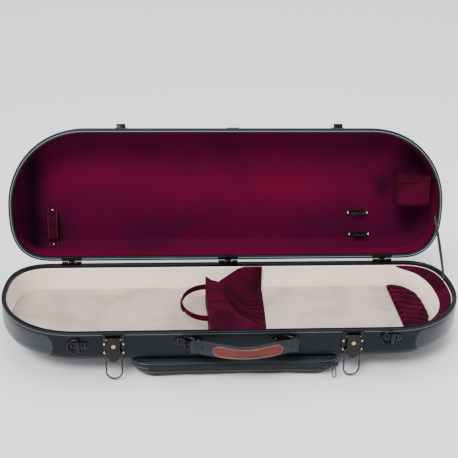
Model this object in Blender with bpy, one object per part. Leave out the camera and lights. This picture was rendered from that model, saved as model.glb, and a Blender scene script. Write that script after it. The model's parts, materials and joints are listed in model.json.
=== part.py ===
# Half-moon violin case, standing open. Metres, +Z up, +X along the case, -Y towards the handle side.
# The case frame used below has its rim plane at z = 0 and the hinge side's outer edge at y = 0.
import math

import bmesh
import bpy
from mathutils import Matrix, Vector

# driving dimensions
LENGTH = 0.790
WIDTH = 0.245
WIDEST = 0.0984              # from the hinge edge to the widest line of the half moon
FRONT_CORNER = (0.139, 0.1466, 2.04)   # semi-axes along X and Y, and the superellipse power
BACK_CORNER = (0.082, 0.0984, 2.78)
BASE_DEPTH = 0.058
LID_DEPTH = 0.054
POUCH_DROP = 0.086           # from the rim plane to the ground under the music pouch
REAR_REACH = 0.0836          # how far the open lid reaches behind the hinge edge
FRONT_REACH = 0.2864         # how far the handle reaches in front of the hinge edge
LID_ANGLE = math.radians(97.3)
HINGE = Vector((0, 0.0024, 0.00015))
CASE = Vector((0, (FRONT_REACH - REAR_REACH) / 2, POUCH_DROP))
GAP = 0.0003
RIM_GAP = 0.0003

RAIL_WIDTH = 0.0078
RAIL_HEIGHT = 0.006
SHELL_INSET = 0.0005
SHELL_WALL = 0.0024
BASE_ROUND = 0.022
FLOOR_TOP = -0.047

LATCHES = {"left": -0.1975, "right": 0.1890}
HINGES = {"left": -0.286, "middle": 0.0, "right": 0.288}
STRAP_PLATES = {"left": (-0.2540, -0.0225), "right": (0.2530, -0.0150)}
BRACKETS = {"left": -0.0845, "right": 0.0745}
BRACKET_HEIGHT = -0.0165
RING_REACH = 0.018           # between a handle ring's two upright sides
RING_LEAN = math.radians(30)
BAIL_PIVOT = -0.034
LEVER_PIVOT = -0.009
CORNER_STEPS = 9
ROUND_STEPS = 4

FRONT_WALL = Matrix(((1, 0, 0, 0), (0, 0, -1, -WIDTH), (0, 1, 0, 0), (0, 0, 0, 1)))
LID_FLOOR = 0.0483           # depth of the lid lining's flat back from the rim plane
LID_BACK = Matrix(((1, 0, 0, 0), (0, -1, 0, 0), (0, 0, -1, LID_FLOOR), (0, 0, 0, 1)))
LID_WALL_FOOT = (SHELL_INSET, RAIL_HEIGHT + 2 * GAP)      # inset and height where the lid's wall starts
LID_WALL_HEAD = (0.0047, 0.030)                           # and where its rounding starts
LID_DRAFT = math.atan((LID_WALL_HEAD[0] - LID_WALL_FOOT[0]) / (LID_WALL_HEAD[1] - LID_WALL_FOOT[1]))
LINING_HEAD = (0.0115, 0.030)                             # the same place on the lining's face
LINING_ROUND = 0.0175
LID_FRONT = (FRONT_WALL @ Matrix.Translation((0, LID_WALL_FOOT[1], GAP - SHELL_INSET))
             @ Matrix.Rotation(-LID_DRAFT, 4, "X"))

for old in list(bpy.data.objects):
    bpy.data.objects.remove(old)


def collection(name):
    group = bpy.data.collections.new(name)
    bpy.context.scene.collection.children.link(group)
    return group


CASE_PARTS = collection("violin_case")
CUTTERS = collection("cutters")


def finish(name, colour, roughness, metallic=0.0):
    material = bpy.data.materials.new(name)
    material.use_nodes = True
    shader = material.node_tree.nodes["Principled BSDF"]
    shader.inputs["Base Color"].default_value = (*colour, 1)
    shader.inputs["Roughness"].default_value = roughness
    shader.inputs["Metallic"].default_value = metallic
    material.diffuse_color = (*colour, 1)
    return material


FINISHES = {
    "shell": finish("shell", (0.035, 0.045, 0.055), 0.3),
    "rail": finish("rail", (0.06, 0.075, 0.085), 0.4),
    "hardware": finish("hardware", (0.012, 0.013, 0.015), 0.25, 0.6),
    "nickel": finish("nickel", (0.6, 0.6, 0.6), 0.25, 1.0),
    "brass": finish("brass", (0.75, 0.5, 0.25), 0.3, 1.0),
    "velvet": finish("velvet", (0.09, 0.0, 0.015), 0.9),
    "cream": finish("cream", (0.85, 0.75, 0.68), 0.9),
    "floor": finish("floor", (0.6, 0.53, 0.48), 0.9),
    "leather": finish("leather", (0.045, 0.06, 0.07), 0.5),
    "inlay": finish("inlay", (0.24, 0.06, 0.045), 0.55),
    "webbing": finish("webbing", (0.06, 0.075, 0.085), 0.8),
    "pouch": finish("pouch", (0.05, 0.065, 0.08), 0.7),
}

AXIS_AT = {}


def joint_axis(name, at, parent=None, turn=0.0):
    """Adds the empty that a moving body hangs on, at its joint, given in the case frame."""
    empty = bpy.data.objects.new(name, None)
    CASE_PARTS.objects.link(empty)
    AXIS_AT[empty.name] = Vector(at)
    if parent:
        empty.parent = parent
        empty.location = Vector(at) - AXIS_AT[parent.name]
    else:
        empty.location = CASE + Vector(at)
    empty.rotation_euler.x = turn
    return empty


def put(name, mesh, look, axis=None, smooth=0.6):
    """Names one sub-part, gives it its finish and hangs it on the case or on a joint's empty."""
    mesh.name = name
    mesh.materials.clear()
    mesh.materials.append(FINISHES[look])
    mesh.shade_smooth()
    mesh.set_sharp_from_angle(angle=smooth)
    part = bpy.data.objects.new(name, mesh)
    CASE_PARTS.objects.link(part)
    if axis:
        part.parent = axis
        part.location = -AXIS_AT[axis.name]
    else:
        part.location = CASE
    return part


# shapes
def to_mesh(bm, matrix=None):
    if matrix:
        bmesh.ops.transform(bm, matrix=matrix, verts=bm.verts)
    bmesh.ops.recalc_face_normals(bm, faces=bm.faces)
    mesh = bpy.data.meshes.new("shape")
    bm.to_mesh(mesh)
    bm.free()
    return mesh


def box(low, high, bevel=0.0):
    """A box between two corners, with its edges rounded by one bevel step."""
    low, high = Vector(low), Vector(high)
    bm = bmesh.new()
    bmesh.ops.create_cube(bm, size=1)
    for vert in bm.verts:
        vert.co = (low + high) / 2 + Vector(vert.co[i] * (high[i] - low[i]) for i in range(3))
    if bevel:
        bmesh.ops.bevel(bm, geom=bm.edges[:], offset=bevel, segments=1, affect="EDGES")
    return to_mesh(bm)


def rod(start, end, radius, tip=None, sides=12):
    """A round bar from start to end, tapered where a tip radius is given."""
    start, end = Vector(start), Vector(end)
    along = end - start
    bm = bmesh.new()
    bmesh.ops.create_cone(bm, cap_ends=True, segments=sides, radius1=radius,
                          radius2=radius if tip is None else tip, depth=along.length)
    turn = along.to_track_quat("Z", "Y").to_matrix().to_4x4()
    return to_mesh(bm, Matrix.Translation((start + end) / 2) @ turn)


def baked(thing):
    """The evaluated mesh of a temporary object, which is then removed."""
    scene_link = bpy.context.scene.collection.objects
    scene_link.link(thing)
    bpy.context.view_layer.update()
    result = bpy.data.meshes.new_from_object(thing.evaluated_get(bpy.context.evaluated_depsgraph_get()))
    bpy.data.objects.remove(thing)
    bm = bmesh.new()
    bm.from_mesh(result)
    bmesh.ops.remove_doubles(bm, verts=bm.verts, dist=0.00001)
    bm.to_mesh(result)
    bm.free()
    return result


def wire(points, radius, closed=False):
    """A wire of eight sides through the points."""
    curve = bpy.data.curves.new("wire", "CURVE")
    curve.dimensions = "3D"
    curve.bevel_depth = radius
    curve.bevel_resolution = 2
    curve.use_fill_caps = True
    spline = curve.splines.new("POLY")
    spline.points.add(len(points) - 1)
    for point, at in zip(spline.points, points):
        point.co = (*at, 1)
    spline.use_cyclic_u = closed
    return baked(bpy.data.objects.new("wire", curve))


def flat(points, thickness, matrix=None):
    """A flat plate of the outline, from w = 0 up to its thickness."""
    curve = bpy.data.curves.new("flat", "CURVE")
    curve.dimensions = "2D"
    curve.fill_mode = "BOTH"
    curve.extrude = thickness / 2
    spline = curve.splines.new("POLY")
    spline.points.add(len(points) - 1)
    for point, (u, v) in zip(spline.points, points):
        point.co = (u, v, 0, 1)
    spline.use_cyclic_u = True
    mesh = baked(bpy.data.objects.new("flat", curve))
    mesh.transform(Matrix.Translation((0, 0, thickness / 2)))
    return moved(mesh, matrix) if matrix else mesh


def moved(mesh, matrix):
    mesh.transform(matrix)
    return mesh


def shift(x=0.0, y=0.0, z=0.0):
    return Matrix.Translation((x, y, z))


def carved(body, add=(), cut=()):
    """Unites the meshes in add with the body and takes those in cut away from it."""
    stock = bpy.data.objects.new("stock", body)
    tools = []
    for operation, meshes in (("UNION", add), ("DIFFERENCE", cut)):
        for mesh in meshes:
            tool = bpy.data.objects.new("cutter", mesh)
            tool.hide_render = True
            tool.display_type = "WIRE"
            CUTTERS.objects.link(tool)
            tools.append(tool)
            step = stock.modifiers.new("carve", "BOOLEAN")
            step.operation = operation
            step.object = tool
    result = baked(stock)
    for tool in tools:
        bpy.data.objects.remove(tool)
    return result


def loft(rings, closed=False):
    """Skins rings of equal point counts, with flat ends unless the rings close on themselves."""
    bm = bmesh.new()
    rows = [[bm.verts.new(point) for point in ring] for ring in rings]
    count = len(rows[0])
    pairs = list(zip(rows, rows[1:])) + ([(rows[-1], rows[0])] if closed else [])
    for lower, upper in pairs:
        for i in range(count):
            j = (i + 1) % count
            bm.faces.new((lower[i], lower[j], upper[j], upper[i]))
    if not closed:
        bm.faces.new(rows[0])
        bm.faces.new(rows[-1])
    return to_mesh(bm)


def corner(semi, turn, steps=CORNER_STEPS):
    """Points and outward normals of one superellipse corner, turned into its quadrant."""
    a, b, power = semi
    found = []
    for step in range(steps + 1):
        t = math.pi / 2 * step / steps
        x, y = math.cos(t) ** (2 / power), math.sin(t) ** (2 / power)
        normal = Vector((x ** (power - 1) / a, y ** (power - 1) / b)).normalized()
        found.append((Vector((x * a * turn[0], y * b * turn[1])),
                      Vector((normal.x * turn[0], normal.y * turn[1]))))
    return found


def half_moon():
    """The case's outline, anticlockwise from the right end, as points and outward normals."""
    half = LENGTH / 2
    back_x, front_x = half - BACK_CORNER[0], half - FRONT_CORNER[0]
    outline = []
    for semi, x, turn in ((BACK_CORNER, back_x, (1, 1)), (BACK_CORNER, -back_x, (-1, 1)),
                          (FRONT_CORNER, -front_x, (-1, -1)), (FRONT_CORNER, front_x, (1, -1))):
        points = corner(semi, turn)
        if turn[0] * turn[1] < 0:
            points.reverse()
        for point, normal in points:
            place = point + Vector((x, -WIDEST))
            if not outline or (place - outline[-1][0]).length > 1e-6:
                outline.append((place, normal))
    outline.pop()
    return outline


MOON = half_moon()


def moon_ring(inset, z):
    return [(*(point - normal * inset), z) for point, normal in MOON]


def moon_band(section):
    """A closed section of (inset, z) points carried round the whole outline."""
    return loft([moon_ring(*corner_point) for corner_point in section], closed=True)


def rounding(start, radii, steps=ROUND_STEPS):
    """Rows of (inset, z) that turn from an upright wall at start to a level face."""
    return [(start[0] + radii[0] * (1 - math.cos(math.pi / 2 * i / steps)),
             start[1] + radii[1] * math.sin(math.pi / 2 * i / steps)) for i in range(1, steps + 1)]


def rounded_outline(half_x, low_y, high_y, front, back, z, steps=5):
    """A bag's outline: a rectangle with its own corner semi-axes at the front and the back."""
    points = []
    for semi, x, y, turn in ((back, half_x, high_y, (1, 1)), (back, -half_x, high_y, (-1, 1)),
                             (front, -half_x, low_y, (-1, -1)), (front, half_x, low_y, (1, -1))):
        arc = corner(semi, turn, steps)
        if turn[0] * turn[1] < 0:
            arc.reverse()
        centre = Vector((x - turn[0] * semi[0], y - turn[1] * semi[1]))
        points += [(*(centre + point), z) for point, _ in arc]
    return points


def oval(width, height, centre=(0, 0), steps=8):
    """An oblong outline with round ends, lying along u."""
    radius = height / 2
    points = []
    for side in (1, -1):
        for step in range(steps + 1):
            angle = math.pi * (step / steps - 0.5)
            points.append((centre[0] + side * (width / 2 - radius + radius * math.cos(angle)),
                           centre[1] + side * radius * math.sin(angle)))
    return points


def dome(u, v, w, radius, height, sides=10):
    """A rivet head standing on w."""
    return rod((u, v, w), (u, v, w + height), radius, radius * 0.55, sides)


# base
def hinge_recesses(low, high):
    return [box((x - 0.0187, -0.0095, low), (x + 0.0187, 0.005, high)) for x in HINGES.values()]


def build_base():
    wall_foot = -(BASE_DEPTH - BASE_ROUND)
    outer = [(SHELL_INSET, -RAIL_HEIGHT - GAP), (SHELL_INSET, wall_foot)]
    outer += [(i, z) for i, z in rounding(outer[-1], (BASE_ROUND, -BASE_ROUND))]
    inner_start = SHELL_INSET + SHELL_WALL
    inner_round = BASE_ROUND - SHELL_WALL
    inner = [(inner_start, outer[0][1]), (inner_start, wall_foot)]
    inner += rounding(inner[-1], (inner_round, -inner_round))
    rings = [moon_ring(*row) for row in reversed(outer)] + [moon_ring(*row) for row in inner]
    put("base_shell", loft(rings), "shell")

    groove = [(0.0030, 0), (0.0030, -0.0015), (0.0050, -0.0015), (0.0050, 0)]
    section = [(0, -RAIL_HEIGHT), (0, 0), *groove, (RAIL_WIDTH, 0), (RAIL_WIDTH, -RAIL_HEIGHT)]
    put("base_rail", carved(moon_band(section), cut=hinge_recesses(-0.00155, 0.004)), "rail")

    padding = [(0.0033, -0.0066), (0.0033, -0.036), (0.0046, -0.0425), (0.0066, -0.0468),
               (0.0098, -0.0504), (0.0123, -0.0522), (0.0123, -0.0460), (0.0086, -0.0066)]
    put("base_wall_lining", moon_band(padding), "cream")

    pad = [(0.0210, -0.0552), (0.0127, -0.0524), (0.0127, FLOOR_TOP)]
    put("base_floor_pad", loft([moon_ring(*row) for row in pad]), "floor")


def end_arc():
    """The stretch of the outline that wraps the body end, from the back wall round to the front."""
    front = [pair for pair in MOON if pair[0].x > 0.27 and pair[0].y < -WIDEST - 0.001]
    front.sort(key=lambda pair: pair[0].y)
    back = [pair for pair in MOON if pair[0].x > 0.31 and pair[0].y >= -WIDEST - 0.001]
    back.sort(key=lambda pair: pair[0].y)
    return front + back


def build_body_end():
    """The curved end panel, the velvet shoulder above it and the pleated pad on the floor."""
    arc = end_arc()
    panel, shoulder = [], []
    for step, (point, normal) in enumerate(arc):
        share = step / (len(arc) - 1)
        swell = math.sin(math.pi * share) ** 0.55
        foot = 0.0131 + (0.0215 + 0.012 * share) * swell
        top = 0.0131 + 0.0125 * swell
        level = -0.0080 - 0.0085 * swell
        for solid, section in (
                (panel, ((0.0130, FLOOR_TOP + GAP), (foot + 0.0005, FLOOR_TOP + GAP), (top + 0.0005, level),
                         (0.0112, level))),
                (shoulder, ((0.0110, level + GAP), (top, level + GAP), (0.0100, -0.0070),
                            (0.0092, -0.0070)))):
            solid.append([(*(point - normal * inset), z) for inset, z in section])
    put("end_panel", loft(panel), "cream")
    put("end_shoulder", loft(shoulder), "velvet")

    straight_x = 0.2915
    rim = []
    for step, (point, normal) in enumerate(arc):
        share = step / (len(arc) - 1)
        inside = point - normal * (0.0148 + (0.0215 + 0.012 * share) * math.sin(math.pi * share) ** 0.55)
        if inside.x > straight_x + 0.004:
            rim.append(inside)
    rim = [Vector((straight_x, rim[0].y))] + rim + [Vector((straight_x, rim[-1].y))]
    centre = sum(rim, Vector((0, 0))) / len(rim)
    rows = [[(*(centre + (p - centre) * scale), z) for p in rim]
            for scale, z in ((0.985, FLOOR_TOP + GAP), (1.0, FLOOR_TOP + 0.003), (0.93, FLOOR_TOP + 0.006))]
    put("end_pad", loft(rows), "velvet")


def build_cradle():
    """The neck cradle: a velvet block over the full width with a valley that opens to the body end."""
    foot = FLOOR_TOP + GAP
    spine = ((-0.236 + 0.0135, -0.0100), (-0.200, -0.0112), (-0.165, -0.0150), (-0.135, -0.0205),
             (-0.105, -0.0220), (-0.080, -0.0170), (-0.058, -0.0105))
    left, middle, right = [], [], []
    for step, (y, z) in enumerate(spine):
        share = step / (len(spine) - 1)
        left.append((-0.0420 + 0.002 * (1 - share), y, z))
        reach = 0.0480 * (1 - share * 1.9) if share < 0.5 else 0.0024
        middle.append((reach - 0.0100 if share >= 0.5 else reach, y, z - 0.001))
        right.append((0.0540 + 0.008 * share, y, foot + 0.0035))
    rings = []
    for row in (left, middle, right):
        rings.append([(x, y, z) for x, y, z in row]
                     + [(row[-1][0], row[-1][1], foot), (row[0][0], row[0][1], foot)])
    put("neck_cradle", loft(rings), "velvet")

    wedge_top = -0.0040
    corners = ((-0.0210, -0.0577), (0.0230, -0.0137), (0.0620, -0.0137), (0.0600, -0.0577))
    low_top = (-0.0110, wedge_top, wedge_top - 0.002, foot + 0.006)
    lower = [(x, y, foot) for x, y in corners]
    upper = [(x, y, z) for (x, y), z in zip(corners, low_top)]
    put("cradle_back_wedge", loft([lower, upper]), "velvet")

    thickness, height = 0.0016, 0.0100
    centre_y, reach, half = -0.1210, 0.0450, 0.0560
    steps = 16
    inner, outer = [], []
    for step in range(steps + 1):
        angle = math.pi * (0.5 + step / steps)
        direction = Vector((math.cos(angle), math.sin(angle)))
        for line, grow in ((inner, 0), (outer, thickness)):
            line.append(Vector((-0.0428 + direction.x * (reach - thickness + grow),
                                centre_y + direction.y * (half - thickness + grow))))
    rings = []
    for a, b in zip(inner, outer):
        rings.append([(*a, -0.0215), (*b, -0.0215), (*b, -0.0215 + height), (*a, -0.0215 + height)])
    put("cradle_strap", loft(rings), "velvet")


# lid, drawn closed and swung open by its hinge's empty
def build_lid(axis):
    outer = [LID_WALL_FOOT, LID_WALL_HEAD, *rounding(LID_WALL_HEAD, (0.0243, LID_DEPTH - 0.030))]
    inner = [(SHELL_INSET + 0.0022, LID_WALL_FOOT[1]), (0.0069, 0.030)]
    inner += rounding(inner[-1], (0.0221, LID_DEPTH - 0.0322))
    rings = [moon_ring(*row) for row in reversed(outer)] + [moon_ring(*row) for row in inner]
    put("lid_shell", loft(rings), "shell", axis)

    low, high = RIM_GAP, RIM_GAP + RAIL_HEIGHT
    tongue = [(0.0033, low), (0.0033, -0.0009), (0.0047, -0.0009), (0.0047, low)]
    section = [(0, high), (0, low), *tongue, (RAIL_WIDTH, low), (RAIL_WIDTH, high)]
    put("lid_rail", carved(moon_band(section), cut=hinge_recesses(-0.004, 0.00185)), "rail", axis)

    skin = [(0.0031, 0.0069), (0.0073, 0.030), *rounding((0.0073, 0.030), (0.0217, 0.0213))]
    face = [(0.0088, 0.0069), LINING_HEAD,
            *rounding(LINING_HEAD, (LINING_ROUND, LID_FLOOR - LINING_HEAD[1]))]
    rings = [moon_ring(*row) for row in reversed(skin)] + [moon_ring(*row) for row in face]
    put("lid_lining", loft(rings), "velvet", axis)


def leaf(x, side):
    """One hinge leaf with its knuckles: side -1 lies in the base rail, +1 in the lid rail."""
    z = HINGE.z
    plate = box((x - 0.0180, -0.0078, z + side * 0.00045), (x + 0.0180, 0.0015, z + side * 0.00145))
    spans = [(-0.0180, -0.0063), (0.0063, 0.0180)] if side < 0 else [(-0.0058, 0.0058)]
    clear = [(-0.0063, 0.0063)] if side < 0 else [(-0.0185, -0.0058), (0.0058, 0.0185)]
    knuckles = [rod((x + a, HINGE.y, z), (x + b, HINGE.y, z), 0.0019) for a, b in spans]
    slots = [box((x + a - 0.0001, HINGE.y - 0.0023, z - 0.004), (x + b + 0.0001, 0.006, z + 0.004))
             for a, b in clear]
    bore = rod((x - 0.02, HINGE.y, z), (x + 0.02, HINGE.y, z), 0.0011, sides=10)
    return carved(plate, add=knuckles, cut=[*slots, bore])


def build_hinges(axis):
    for side, x in HINGES.items():
        put(f"hinge_base_leaf_{side}", leaf(x, -1), "hardware")
        put(f"hinge_lid_leaf_{side}", leaf(x, 1), "hardware", axis)
        pin = rod((x - 0.0182, HINGE.y, HINGE.z), (x + 0.0182, HINGE.y, HINGE.z), 0.0008, sides=10)
        put(f"hinge_pin_{side}", pin, "nickel")


def lining_lift(inset):
    """How far the lid lining stands in front of its flat back at an inset from the lid's edge."""
    share = min(1.0, max(0.0, (inset - LINING_HEAD[0]) / LINING_ROUND))
    return (LID_FLOOR - LINING_HEAD[1]) * (1 - math.sqrt(1 - (1 - share) ** 2))


def pocket_ring(w, left, right, low, high):
    return [(left, low, w), (right, low, w), (right, high, w), (left, high, w)]


def build_lid_fittings(axis):
    """Bow clips, bow tip loop, accessory pocket, latch keepers and the small centre plate."""
    for name, u, v in (("upper", 0.2465, 0.0755), ("lower", 0.2515, 0.0325)):
        heads = [dome(u + side * 0.0180, v, 0.0008, 0.0030, 0.0038) for side in (-1, 1)]
        plate = carved(flat(oval(0.0440, 0.0085, (u, v), 4), 0.0012), add=heads)
        put(f"bow_clip_plate_{name}", moved(plate, LID_BACK @ shift(z=GAP)), "nickel", axis)
        turn = joint_axis(f"bow_clip_{name}_axis", LID_BACK @ Vector((u, v, 0)), axis)
        bar = flat(oval(0.0270, 0.0080, (u, v), 4), 0.0030, LID_BACK @ shift(z=0.0075))
        post = rod((u, v, 0.0018), (u, v, 0.0080), 0.0026, sides=10)
        put(f"bow_clip_{name}", carved(bar, add=[moved(post, LID_BACK)]), "hardware", turn)

    u, low, high = -0.3200, 0.0180, 0.0920
    arch = [(low, 0), (low + 0.008, 0), (low + 0.017, 0.0075), (high - 0.017, 0.0075),
            (high - 0.009, 0), (high, 0)]
    under = [(v, max(w, lining_lift(v)) + 0.0010) for v, w in arch]
    ring = under + [(v, w + 0.0016) for v, w in reversed(under)]
    strap = loft([[(u + side * 0.0075, v, w) for v, w in ring] for side in (-1, 1)])
    put("bow_tip_loop", moved(strap, LID_BACK), "velvet", axis)

    left, right, low, high, front = 0.3130, 0.3700, 0.1000, 0.1540, 0.0370
    wall = 0.0030
    drawn_in = ((0.0008, 0.0160), (0.0120, 0.0045), (front, 0.0))     # follows the lid's rounded end wall
    body = loft([pocket_ring(w, left, right - lean, low, high) for w, lean in drawn_in])
    cover_right = 0.3520
    room = [pocket_ring(w, left + wall, cover_right - wall, low + wall, high + 0.01)
            for w in (0.0038, front - wall)]
    put("lid_pocket", moved(carved(body, cut=[loft(room)]), LID_BACK), "velvet", axis)
    flap = joint_axis("pocket_flap_axis", LID_BACK @ Vector((0, high + 0.0018, 0.0016)), axis)
    cover = box((left, high + GAP, 0.0010), (cover_right, high + 0.0030, front + 0.0035))
    lip = box((left + 0.0002, high - 0.0100, front + GAP),
              (cover_right - 0.0002, high + 0.0020, front + 0.0033))
    put("pocket_flap", moved(carved(cover, add=[lip]), LID_BACK), "velvet", flap)

    for side, x in LATCHES.items():
        x += 0.0060
        foot = box((x - 0.0100, 0.0010, 0), (x + 0.0100, 0.0190, 0.0016), 0.0003)
        bend = ((0.0014, 0.0010), (0.0040, 0.0010), (0.0040, 0.0062), (0.0085, 0.0062), (0.0085, 0.0080),
                (0.0014, 0.0080))
        hook = loft([[(x + end * 0.0080, v, w) for v, w in bend] for end in (-1, 1)])
        put(f"latch_keeper_{side}", moved(carved(foot, add=[hook]), LID_FRONT), "hardware", axis)
    plate = box((-0.004, 0.0010, 0), (0.017, 0.0190, 0.0014), 0.0003)
    put("lid_centre_plate", moved(plate, LID_FRONT), "hardware", axis)


# front wall hardware, drawn with u along X, v up and w out of the wall
def build_latch(side, x):
    plate = flat([(x + u, v) for u, v in ((-0.0165, -0.0400), (0.0165, -0.0400), (0.0175, -0.0385),
                                          (0.0175, -0.0040), (0.0165, -0.0025), (-0.0165, -0.0025),
                                          (-0.0175, -0.0040), (-0.0175, -0.0385))], 0.0014)
    cheeks = [box((x + a, -0.0145, 0.0010), (x + a + 0.0022, -0.0045, 0.0085)) for a in (-0.0140, 0.0118)]
    bore = rod((x - 0.02, LEVER_PIVOT, 0.0058), (x + 0.02, LEVER_PIVOT, 0.0058), 0.0013, sides=10)
    heads = [dome(x + s * 0.0150, v, 0.0010, 0.0018, 0.0014, 8) for s in (-1, 1) for v in (-0.020, -0.036)]
    plate = carved(plate, add=[*cheeks, *heads], cut=[bore])
    put(f"latch_plate_{side}", moved(plate, FRONT_WALL @ shift(z=GAP)), "hardware")
    pin = rod((x - 0.0145, LEVER_PIVOT, 0.0061), (x + 0.0145, LEVER_PIVOT, 0.0061), 0.0010, sides=10)
    put(f"latch_pin_{side}", moved(pin, FRONT_WALL), "nickel")

    lever_axis = joint_axis(f"latch_lever_{side}_axis", FRONT_WALL @ Vector((x, LEVER_PIVOT, 0.0061)))
    tab = [(x + 0.0085 * math.cos(t), -0.0405 + 0.0085 * math.sin(t))
           for t in (math.pi * (1 + step / 8) for step in range(9))]
    outline = [(x - 0.0104, -0.0060), (x - 0.0104, -0.0375), *tab, (x + 0.0104, -0.0375),
               (x + 0.0104, -0.0060)]
    lever = flat(outline, 0.0060, shift(z=0.0032))
    holes = [rod((x - 0.02, LEVER_PIVOT, 0.0061), (x + 0.02, LEVER_PIVOT, 0.0061), 0.0013, sides=10),
             rod((x, -0.0200, 0.0060), (x, -0.0200, 0.0120), 0.0037, sides=14)]
    holes += [rod((x + s * 0.0070, BAIL_PIVOT, 0.0062), (x + s * 0.0130, BAIL_PIVOT, 0.0062), 0.0017,
                  sides=10) for s in (-1, 1)]
    put(f"latch_lever_{side}", moved(carved(lever, cut=holes), FRONT_WALL), "hardware", lever_axis)

    lock_axis = joint_axis(f"lock_{side}_axis", FRONT_WALL @ Vector((x, -0.0200, 0.0090)), lever_axis)
    slot = box((x - 0.0006, -0.0218, 0.0088), (x + 0.0006, -0.0182, 0.0120))
    barrel = carved(rod((x, -0.0200, 0.0063), (x, -0.0200, 0.0100), 0.0034, sides=14), cut=[slot])
    put(f"lock_cylinder_{side}", moved(barrel, FRONT_WALL), "brass", lock_axis)

    bail_axis = joint_axis(f"bail_{side}_axis", FRONT_WALL @ Vector((x, BAIL_PIVOT, 0.0062)), lever_axis)
    half, drop = 0.0128, -0.0820
    path = [(x - s * (0.0082 + (half - 0.0082) * t), BAIL_PIVOT) for s, t in ((1, 0), (1, 0.55))]
    path += [(x - half + 0.0004, BAIL_PIVOT - 0.0012), (x - half, BAIL_PIVOT - 0.0035)]
    for step in range(9):
        angle = math.pi * (1 + step / 8)
        path.append((x + half * math.cos(angle), drop + half + half * math.sin(angle)))
    path += [(x + half, BAIL_PIVOT - 0.0035), (x + half - 0.0004, BAIL_PIVOT - 0.0012)]
    path += [(x + 0.0082 + (half - 0.0082) * t, BAIL_PIVOT) for t in (0.55, 0)]
    bail = wire([(u, v, 0.0062) for u, v in path], 0.0013)
    put(f"bail_{side}", moved(bail, FRONT_WALL), "hardware", bail_axis)


def knuckle_plate(x, v, length, tall, head_reach, offset=0.0):
    """A riveted oblong plate with an upright tube that holds the straight side of a ring."""
    heads = [dome(x + offset + s * head_reach, v, 0.0010, 0.0042, 0.0032) for s in (-1, 1)]
    plate = flat(oval(length, 0.0130, (x + offset, v)), 0.0014)
    tube = rod((x, v - tall / 2, 0.0039), (x, v + tall / 2, 0.0039), 0.0034, sides=14)
    foot = box((x - 0.0034, v - tall / 2, 0.0002), (x + 0.0034, v + tall / 2, 0.0039))
    bore = rod((x, v - tall, 0.0039), (x, v + tall, 0.0039), 0.0019, sides=14)
    return moved(carved(plate, add=[foot, tube, *heads], cut=[bore]), FRONT_WALL @ shift(z=GAP))


def build_strap_ring(side, x, v):
    put(f"strap_plate_{side}", knuckle_plate(x, v, 0.0350, 0.0190, 0.0108), "hardware")
    at = FRONT_WALL @ Vector((x, v, 0.0042))
    axis = joint_axis(f"strap_ring_{side}_axis", at)
    reach, half = 0.0165, 0.0120
    path = [(0, -half), (0, -half / 2), (0, 0), (0, half / 2), (0, half)]
    for step in range(9):
        angle = math.pi * (0.5 + step / 8)
        path.append((-reach + half * 0.9 + half * 0.9 * math.cos(angle), half * math.sin(angle)))
    ring = wire([(x + u, v + w, 0.0042) for u, w in path], 0.0014, closed=True)
    put(f"strap_ring_{side}", moved(ring, FRONT_WALL), "hardware", axis)


def handle_ring(x):
    """An oblong ring from the bracket's tube to the loop behind the grip, seen from the front."""
    half = 0.0104
    far = (RING_REACH * math.cos(RING_LEAN), RING_REACH * math.sin(RING_LEAN))
    path = [(0.0, -half), (0.0, 0.0), (0.0, half), (0.08, half + 0.0006), (0.92, half + 0.0006),
            (1.0, half), (1.0, 0.0), (1.0, -half), (0.92, -half - 0.0006), (0.08, -half - 0.0006)]
    points = [(x + far[0] * t, BRACKET_HEIGHT + v, 0.0042 + far[1] * t) for t, v in path]
    return moved(wire(points, 0.0014, closed=True), FRONT_WALL)


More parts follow.
